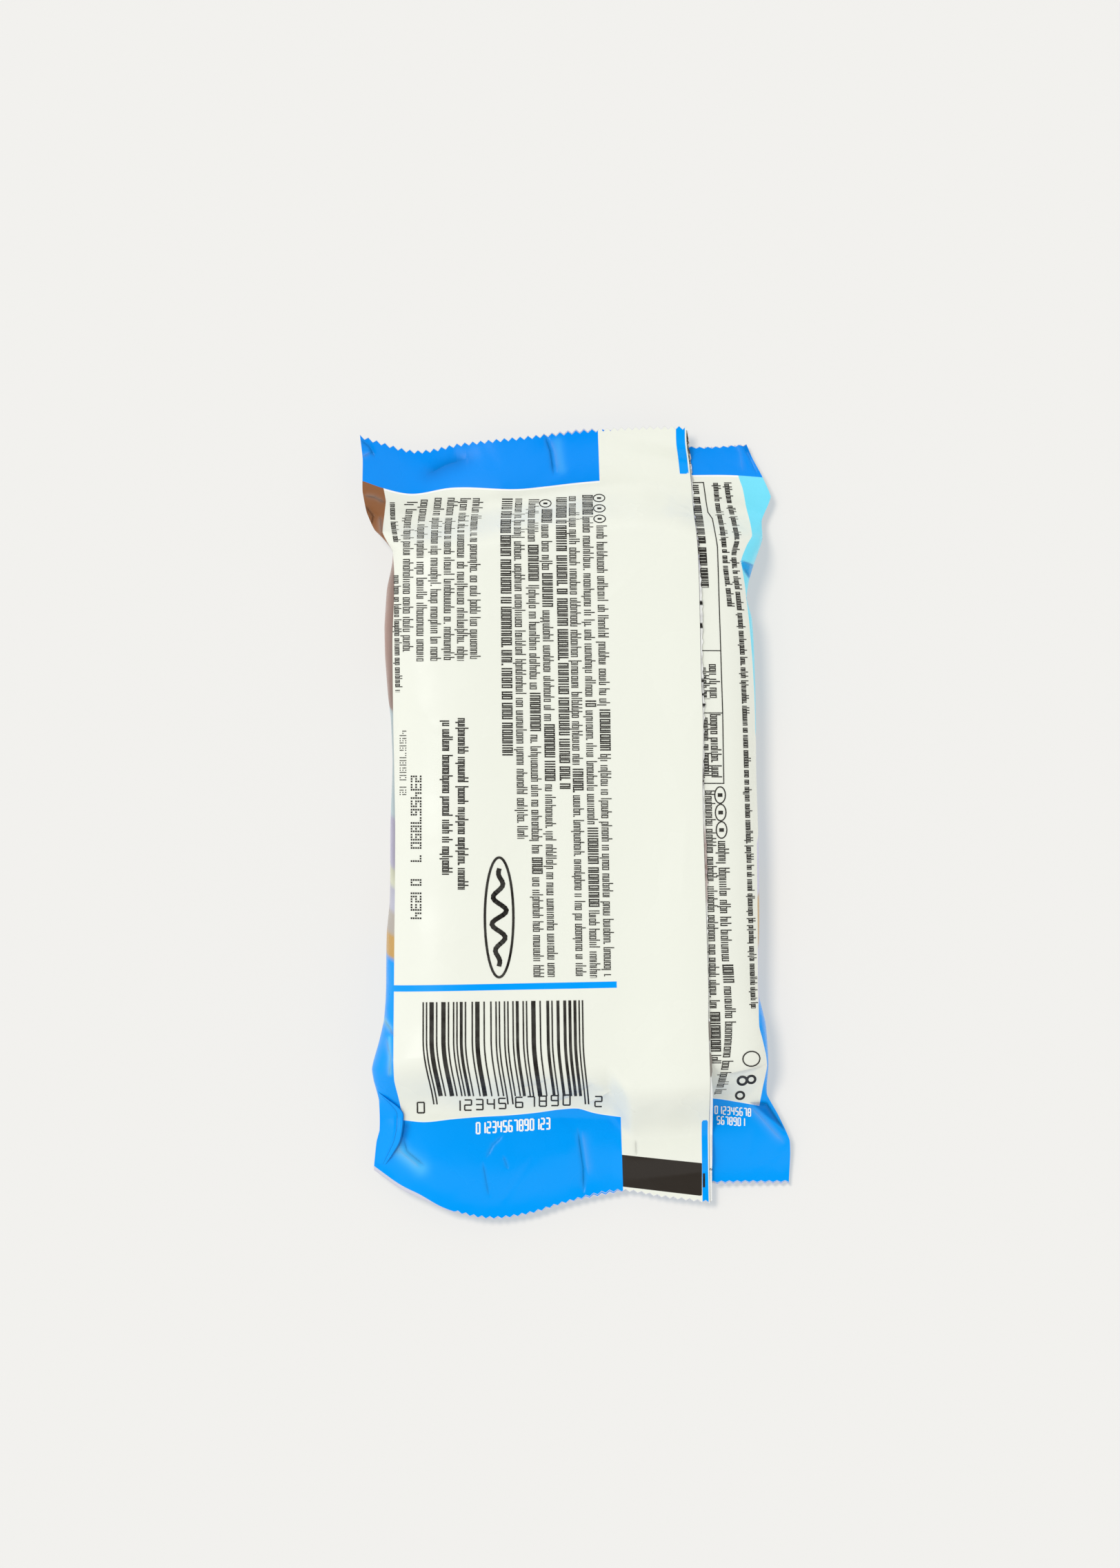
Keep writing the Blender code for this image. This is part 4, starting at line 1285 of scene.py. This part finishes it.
# Plain numerals of seven strokes: the ends of each stroke in a cell of width 1 and height 1
strokeEnds = {"a": (0, 1, 1, 1), "b": (1, 0.5, 1, 1), "c": (1, 0, 1, 0.5), "d": (0, 0, 1, 0),
              "e": (0, 0, 0, 0.5), "f": (0, 0.5, 0, 1), "g": (0, 0.5, 1, 0.5)}
numeralStrokes = ["abcdef", "bc", "abged", "abgcd", "fgbc", "afgcd", "afgedc", "abc", "abcdefg", "abcdfg"]


def numeral(digit, x, y, wide, high, stroke):
    # Bars of one numeral, whose cell has its lower left corner at (x, y)
    return [(x + u0 * wide, y + v0 * high, x + u1 * wide, y + v1 * high, stroke)
            for u0, v0, u1, v1 in (strokeEnds[key] for key in numeralStrokes[digit % 10])]


def ring(x, y, acrossX, acrossY, width, count=18):
    # Closed oval of short bars, each a little longer than its chord so that the outer corners meet
    turn = np.linspace(0, 2 * np.pi, count + 1)
    px, py = x + acrossX / 2 * np.cos(turn), y + acrossY / 2 * np.sin(turn)
    dx, dy = np.diff(px), np.diff(py)
    more = 0.5 * width * np.tan(np.pi / count) / np.hypot(dx, dy)
    ends = (px[:-1] - dx * more, py[:-1] - dy * more, px[1:] + dx * more, py[1:] + dy * more)
    return np.stack((*ends, np.full(count, width)), -1).tolist()


def polyline(points, width, overlap=0.0):
    # Bars from point to point, each drawn out at both ends by that share of its width
    points = np.array(points, float)
    steps = np.diff(points, axis=0)
    more = overlap * width * steps / np.hypot(*steps.T)[:, None]
    return np.hstack((points[:-1] - more, points[1:] + more, np.full((len(steps), 1), width))).tolist()


# Slant of the print: mm that a line moves right for each mm that it goes down, by its x at y = 0
printSlant = smoothLine([(-32, 0.0), (-18, 0.001), (-12, 0.009), (5, 0.0172)])


printPush = {
    "span": (5.0, -31.0),       # x between which the push grows from nothing to all
    "upper": (0.75, 50.5, 7.0),             # mm, y where it starts, mm over which it grows
    "lower": (0.75, 1.25, -37.5, 13.5),     # mm, mm more at the left, y and growth as above
}


def printedLine(x):
    # Path of a line of print on the back: slanted, pushed right at the upper slope and at the lower one
    right, left = printPush["span"]
    leftShare = np.clip((right - x) / (right - left), 0, 1)
    high, highStart, highBlend = printPush["upper"]
    low, lowMore, lowStart, lowBlend = printPush["lower"]

    def at(y):
        upper = high * leftShare * ease((y - highStart) / highBlend)
        lower = (low + lowMore * leftShare) * ease((lowStart - y) / lowBlend)
        return x - printSlant(x) * y + upper + lower

    return at


backPrint = {
    "seed": 21,
    "letter": 1.20,             # mm, height of a small letter
    # x at y = 0, first y, last y, stroke, share of bold words, ovals at the start
    "lines": [
        (5.05, 56.8, -26.6, 0.165, 0.14, 3),
        (2.65, 56.4, -26.8, 0.165, 0.10, 0),
        (0.25, 56.2, -26.6, 0.165, 0.04, 0),
        (-2.00, 56.0, 5.3, 0.165, 1.00, 0),
        (-4.55, 55.9, -26.7, 0.165, 0.30, 1),
        (-6.95, 55.7, -26.8, 0.165, 0.18, 0),
        (-9.40, 55.8, -3.0, 0.165, 0.00, 0),
        (-11.85, 55.8, 11.3, 0.165, 1.00, 0),
        (-17.45, 55.9, 27.9, 0.165, 0.00, 0),
        (-19.75, 55.9, 27.6, 0.165, 0.00, 0),
        (-22.05, 56.0, 27.5, 0.165, 0.00, 0),
        (-24.35, 56.0, 27.6, 0.165, 0.00, 0),
        (-26.75, 55.7, 27.5, 0.165, 0.00, 0),
        (-29.10, 55.3, 29.2, 0.165, 0.00, 0),
        (-19.60, 17.7, -11.7, 0.215, 0.00, 0),
        (-22.30, 17.3, -9.6, 0.215, 0.00, 0),
    ],
    # points (y, x), height, stroke, first and last y of each stretch
    "edgeLine": ([(55.6, -31.7), (51.5, -31.5), (47.8, -30.9), (42.8, -30.9), (36.0, -30.8), (22.0, -30.6)],
                 0.84, 0.145, ((55.2, 48.2), (42.4, 22.3))),
    "edgeSlot": (22.30, -61.0, 22.30, -63.4, 0.36),     # one bar, from end to end, and its width
    "dotCodes": [               # x at y = 0, first y, last y, height, advance, first numeral
        (-27.4, 7.8, -4.4, 1.85, 1.43, 2),
        (-27.4, -5.9, -6.5, 1.85, 1.43, 7),
        (-27.4, -10.0, -16.3, 1.85, 1.43, 0),
        (-29.7, 15.6, 4.3, 1.15, 1.27, 4),
    ],
    "startOvals": {             # in mm; the core is a bar, by its half length and its width
        "first": 0.9, "pitch": 1.9, "room": 2.0, "size": (2.0, 1.35), "stroke": 0.17, "core": (0.35, 0.32),
    },
    "dot": {"rows": 4.7, "columnShare": 0.30, "half": 0.36},    # rows in the height, shares of a pitch
    "mark": {"centre": (-13.1, -16.4), "size": (4.9, 20.6), "stroke": 0.42, "waves": 3.5, "sway": 0.26,
             "reach": 0.40, "waveStroke": 1.9, "overlap": 0.22, "points": 41},
    "numerals": {               # x of the first, y, count, pitch, first numeral: the row is under the bars
        "groups": [(-27.3, -50.4, 1, 1.97, 0), (-21.1, -50.05, 5, 1.97, 1), (-10.3, -49.45, 5, 2.05, 6),
                   (3.4, -49.3, 1, 1.97, 2)],
        "cell": (1.18, 1.85, 0.25),     # width, height, stroke
        "climb": 0.05,
    },
    "whiteRow": {"count": 14, "first": (-17.1, -54.0), "pitch": (0.93, 0.06), "cell": (0.56, 1.85, 0.28)},
    "barcode": {"left": -26.3, "right": 1.35, "top": -31.0, "lowest": -48.9, "modules": 95},
    "bars": {
        "wide": [0.60, 0.27, 0.13],     # chances of one, two and three modules
        "gaps": [0.50, 0.32, 0.18],
        "middle": (45, 48),     # modules between which the long bars in the middle start
        "guardDrop": 1.5,
        "topTilt": 0.014,
        "inked": 0.86,          # share of a bar's modules that is printed
        "points": 34,
    },
}


def barcodeBars(draw):
    # Generic code: bars of one to three modules between guard pairs, bent with the print at the lower slope
    code, look = backPrint["barcode"], backPrint["bars"]
    left, top, modules = code["left"], code["top"], code["modules"]
    module = (code["right"] - left) / modules
    spans, at = [(0, 1, True), (2, 3, True)], 4
    while at < modules - 5:
        wide = int(draw.choice([1, 2, 3], p=look["wide"]))
        guard = look["middle"][0] <= at <= look["middle"][1]
        spans.append((at, at + (1 if guard else wide), guard))
        at += (1 if guard else wide) + int(draw.choice([1, 2, 3], p=look["gaps"]))
    spans += [(modules - 3, modules - 2, True), (modules - 1, modules, True)]
    bars = []
    for start, end, guard in spans:
        x = left + (start + end) / 2 * module
        path = printedLine(x)
        highest = top + look["topTilt"] * (x - left)
        y = np.linspace(highest, code["lowest"] + (0 if guard else look["guardDrop"]), look["points"])
        bars += polyline(np.stack((x + path(y) - path(top), y), -1), (end - start) * module * look["inked"])
    return bars


def dotMarks(path, first, last, high, advance, start):
    # Ink-jet code, read towards the lower seal: counting numerals of dots, three wide and five high
    marks, dot = [], backPrint["dot"]
    rowPitch, columnPitch = high / dot["rows"], advance * dot["columnShare"]
    for k, y in enumerate(np.arange(first, last, -advance)):
        dots = set()
        for key in numeralStrokes[(start + k) % 10]:
            u0, v0, u1, v1 = strokeEnds[key]
            dots |= {(round(2 * (u0 + (u1 - u0) * t)), round(4 * (v0 + (v1 - v0) * t))) for t in (0, 0.5, 1)}
        for column, row in sorted(dots):
            middle, along = float(path(np.array(y))) + (row - 2) * rowPitch, y - column * columnPitch
            half = dot["half"] * rowPitch
            marks.append((middle - half, along, middle + half, along, 2 * half))
    return marks


rightPrint = {
    "seed": 33,
    # path as (y, x), letter height, stroke, share of bold words, first and last y
    "lines": [
        ([(58.5, 26.2), (55.8, 26.6), (51.2, 27.5), (48.4, 27.8), (46.4, 27.3), (43.7, 27.4), (40, 27.9),
          (33, 28.5), (20, 29.1), (0, 29.7), (-20, 30.3), (-33, 30.7)], 0.84, 0.165, 0.00, 58.7, -32.2),
        ([(58.5, 24.3), (54.3, 24.7), (51.1, 25.2), (46.8, 25.6), (43.7, 25.8), (40.6, 26.2), (36.7, 26.6)],
         0.84, 0.165, 0.00, 58.6, 36.9),
        ([(57.9, 20.4), (52.0, 21.1), (43.0, 21.8), (39.0, 22.1)], 0.92, 0.160, 1.00, 58.2, 40.2),
        ([(27.0, 23.5), (21.0, 23.7)], 1.20, 0.190, 0.00, 27.0, 21.2),
        ([(18.5, 23.7), (7.0, 24.0)], 1.20, 0.190, 0.00, 18.4, 7.5),
        ([(26.4, 21.9), (21.1, 22.1)], 1.00, 0.180, 0.00, 26.4, 21.1),
        ([(17.8, 22.2), (7.4, 22.5)], 1.00, 0.180, 0.00, 17.8, 7.4),
        ([(-4.0, 25.1), (-20, 25.6), (-39.0, 26.1), (-44, 25.4), (-47.5, 24.5)],
         1.25, 0.185, 0.15, -3.4, -47.2),
        ([(5.3, 22.8), (-20, 23.4), (-42, 23.9)], 1.15, 0.175, 0.12, 5.3, -41.6),
    ],
    "table": [(58.7, 20.1), (58.76, 22.2), (53.5, 22.9), (52.3, 23.65), (47.2, 24.4), (34.8, 24.8),
              (18.7, 25.3), (6.6, 25.5), (6.6, 22.0)],
    "tableStroke": (0.17, 0.3), # width, and share of it that each side is drawn out by
    "dividers": [(29.4, 21.6, 24.9), (18.7, 21.9, 25.3)],
    "dividerStroke": 0.15,
    "ovals": [(24.85, 4.6), (24.95, 1.6), (25.1, -1.4)],
    "ovalSize": (1.85, 2.85, 0.20),
    "ovalCore": (0.40, 0.62),
    "thinRing": (30.3, -40.8, 3.0, 2.6, 0.22),
    "boldRings": [(28.8, -44.7, 1.55, 0.44), (30.35, -44.5, 1.40, 0.42), (28.5, -47.4, 1.40, 0.38)],
    "boldShape": 0.93,          # height of a bold ring for its width
    # x and y of the first numeral, count, first numeral, then the pitch and the cell of both rows
    "whiteRows": [(24.2, -50.6, 9, 0), (24.6, -52.4, 7, 5)],
    "whitePitch": (0.72, -0.06),
    "whiteCell": (0.42, 1.30, 0.20),
}


def waveMark():
    # Plain emblem: a bold oval round a wavy stroke
    mark = backPrint["mark"]
    (x, y), (acrossX, acrossY), stroke = mark["centre"], mark["size"], mark["stroke"]
    t = np.linspace(-1, 1, mark["points"])
    wave = x + mark["sway"] * acrossX * np.sin(mark["waves"] * np.pi * t) * (1 - t ** 2)
    points = np.stack((wave, y + mark["reach"] * acrossY * t), -1)
    inner = polyline(points, mark["waveStroke"] * stroke, mark["overlap"])
    return ring(x, y, acrossX, acrossY, stroke, count=40) + inner


def numeralRow(x, y, count, start, pitch, cell):
    # Plain counting numerals in a row, each one pitch further along x and y
    bars = []
    for k in range(count):
        bars += numeral(start + k, x + k * pitch[0], y + k * pitch[1], *cell)
    return bars


def makeBackInk(dark, white):
    draw = np.random.default_rng(backPrint["seed"])
    ovals, letter = backPrint["startOvals"], backPrint["letter"]
    coreHalf, coreStroke = ovals["core"]
    bars = []
    for x, first, last, stroke, bold, count in backPrint["lines"]:
        path = printedLine(x)
        for k in range(count):
            y = first - ovals["first"] - ovals["pitch"] * k
            middle = float(path(np.array(y)))
            bars += ring(middle, y, *ovals["size"], ovals["stroke"])
            bars.append((middle - coreHalf, y, middle + coreHalf, y, coreStroke))
        bars += greekedLine(backHeight, path, first - ovals["room"] * count, last, draw, letter, stroke, bold)
    points, height, stroke, stretches = backPrint["edgeLine"]
    for first, last in stretches:
        bars += greekedLine(backHeight, smoothLine(points), first, last, draw, height, stroke)
    bars.append(backPrint["edgeSlot"])
    for x, *code in backPrint["dotCodes"]:
        bars += dotMarks(printedLine(x), *code)
    bars += barcodeBars(draw)
    under = backPrint["numerals"]
    for x, y, count, pitch, start in under["groups"]:
        bars += numeralRow(x, y, count, start, (pitch, under["climb"] * pitch), under["cell"])
    bars += waveMark()
    inkBars("backInk", backHeight, bars, dark)
    row = backPrint["whiteRow"]
    marks = numeralRow(*row["first"], row["count"], 0, row["pitch"], row["cell"])
    inkBars("backInkWhite", backHeight, marks, white)


def makeRightInk(dark, white):
    draw = np.random.default_rng(rightPrint["seed"])
    bars = []
    for points, height, stroke, bold, first, last in rightPrint["lines"]:
        bars += greekedLine(upperFilm, smoothLine(points), first, last, draw, height, stroke, bold)
    bars += polyline([(x, y) for y, x in rightPrint["table"]], *rightPrint["tableStroke"])
    for y, x0, x1 in rightPrint["dividers"]:
        bars.append((x0, y, x1, y, rightPrint["dividerStroke"]))
    coreHalf, coreStroke = rightPrint["ovalCore"]
    for x, y in rightPrint["ovals"]:
        bars += ring(x, y, *rightPrint["ovalSize"])
        bars.append((x - coreHalf, y, x + coreHalf, y, coreStroke))
    bars += ring(*rightPrint["thinRing"])
    for x, y, across, stroke in rightPrint["boldRings"]:
        bars += ring(x, y, across, rightPrint["boldShape"] * across, stroke, count=44)
    inkBars("rightInk", upperFilm, bars, dark)
    marks = []
    for x, y, count, start in rightPrint["whiteRows"]:
        marks += numeralRow(x, y, count, start, rightPrint["whitePitch"], rightPrint["whiteCell"])
    inkBars("rightInkWhite", upperFilm, marks, white)


floorLook = {
    "reflected": 0.12,          # share of the floor's colour that reflects light
    "glow": (0.573, 0.612, 0.655),
    "halfSide": 3000.0,
    "roughness": 0.9,
}


def makeFloor():
    # Plain pale floor. Part of its light is its own, which keeps its shadows as faint as on a light table
    material, tree, shader = newMaterial("lightTableAcrylic")
    red, green, blue, _ = linear(palette["floor"])
    lit = floorLook["reflected"]
    shader.inputs["Base Color"].default_value = (red * lit, green * lit, blue * lit, 1.0)
    own = np.array((red, green, blue)) * floorLook["glow"]
    shader.inputs["Emission Color"].default_value = (*own.tolist(), 1.0)
    shader.inputs["Emission Strength"].default_value = 1.0
    shader.inputs["Roughness"].default_value = floorLook["roughness"]
    shader.inputs["Specular IOR Level"].default_value = 0.0
    side = floorLook["halfSide"]
    corners = np.array([(-side, -side, 0), (side, -side, 0), (side, side, 0), (-side, side, 0)], float)
    floor = meshOf("floor", corners, [(0, 1, 2, 3)])
    floor.data.materials.append(material)


cameraView = {
    "centre": (-2.65, 6.50),    # mm, the point of the pack's frame under the middle of the picture
    "frameHeight": 271.3,       # mm seen from top to bottom at the height of the edges
    "edgeHeight": 6.0,
    "distance": 1200.0,
    "sensor": 36.0,
    "farthest": 20.0,           # m
}


def makeCamera():
    # A long lens straight above: at the height of the pack's edges it takes in the frame height
    camera = bpy.data.cameras.new("camera")
    camera.sensor_fit = "VERTICAL"
    camera.sensor_height = cameraView["sensor"]
    away = cameraView["distance"] - cameraView["edgeHeight"]
    camera.lens = cameraView["sensor"] * away / cameraView["frameHeight"]
    camera.clip_end = cameraView["farthest"]
    holder = bpy.data.objects.new("camera", camera)
    bpy.context.scene.collection.objects.link(holder)
    x, y = cameraView["centre"]
    holder.location = (x * mm, y * mm, cameraView["distance"] * mm)
    bpy.context.scene.camera = holder


studioLight = {
    # name, bearing it comes from, height and width in degrees, strength, colour, whether for the floor alone
    "suns": [
        ("keyLight", 158, 60, 22, 0.80, (1.0, 1.0, 1.0), False),
        ("floorLight", 136, 67, 15, 8.51, (1.0, 0.872, 0.725), True),
    ],
    "tent": 1.00,
    "opening": (0.88, 0.955),   # sines of the heights where the tent's light starts to fall and where it ends
}


def makeLights():
    # A soft tent, open above for the camera: gloss sees the opening on a flat face and the tent on a bend
    floorOnly = bpy.data.collections.new("floorOnly")
    floorOnly.objects.link(bpy.data.objects["floor"])
    for name, bearing, height, width, strength, colour, floorAlone in studioLight["suns"]:
        light = bpy.data.lights.new(name, "SUN")
        light.energy = strength
        light.color = colour
        light.angle = np.radians(width)
        holder = bpy.data.objects.new(name, light)
        bpy.context.scene.collection.objects.link(holder)
        holder.rotation_euler = (0, np.radians(90 - height), np.radians(bearing))
        if floorAlone:
            holder.light_linking.receiver_collection = floorOnly
    world = bpy.data.worlds.new("tent")
    world.use_nodes = True
    tree = world.node_tree
    way = addNode(tree, "ShaderNodeTexCoord").outputs["Generated"]
    up = addNode(tree, "ShaderNodeSeparateXYZ", {0: way}).outputs["Z"]
    strength = addNode(tree, "ShaderNodeMapRange", {
        "Value": up, "From Min": studioLight["opening"][0], "From Max": studioLight["opening"][1],
        "To Min": studioLight["tent"], "To Max": 0.0}, interpolation_type="SMOOTHSTEP").outputs["Result"]
    tree.links.new(strength, tree.nodes["Background"].inputs["Strength"])
    tree.nodes["Background"].inputs["Color"].default_value = (1, 1, 1, 1)
    bpy.context.scene.world = world
    bpy.context.scene.view_settings.view_transform = "Standard"


makeBackPanel()
print("back film made")
makeRightPanel()
makeFrontPanel()
print("right and front film made")
makeFinUnderPly()
makeGusset()
print("fin ply and gusset made")
inkDark, inkWhite = inkMaterial("printedInkDark", "ink"), inkMaterial("printedInkWhite", "keyline")
makeBackInk(inkDark, inkWhite)
makeRightInk(inkDark, inkWhite)
print("ink made")
makeFloor()
makeCamera()
makeLights()
print("studio made")
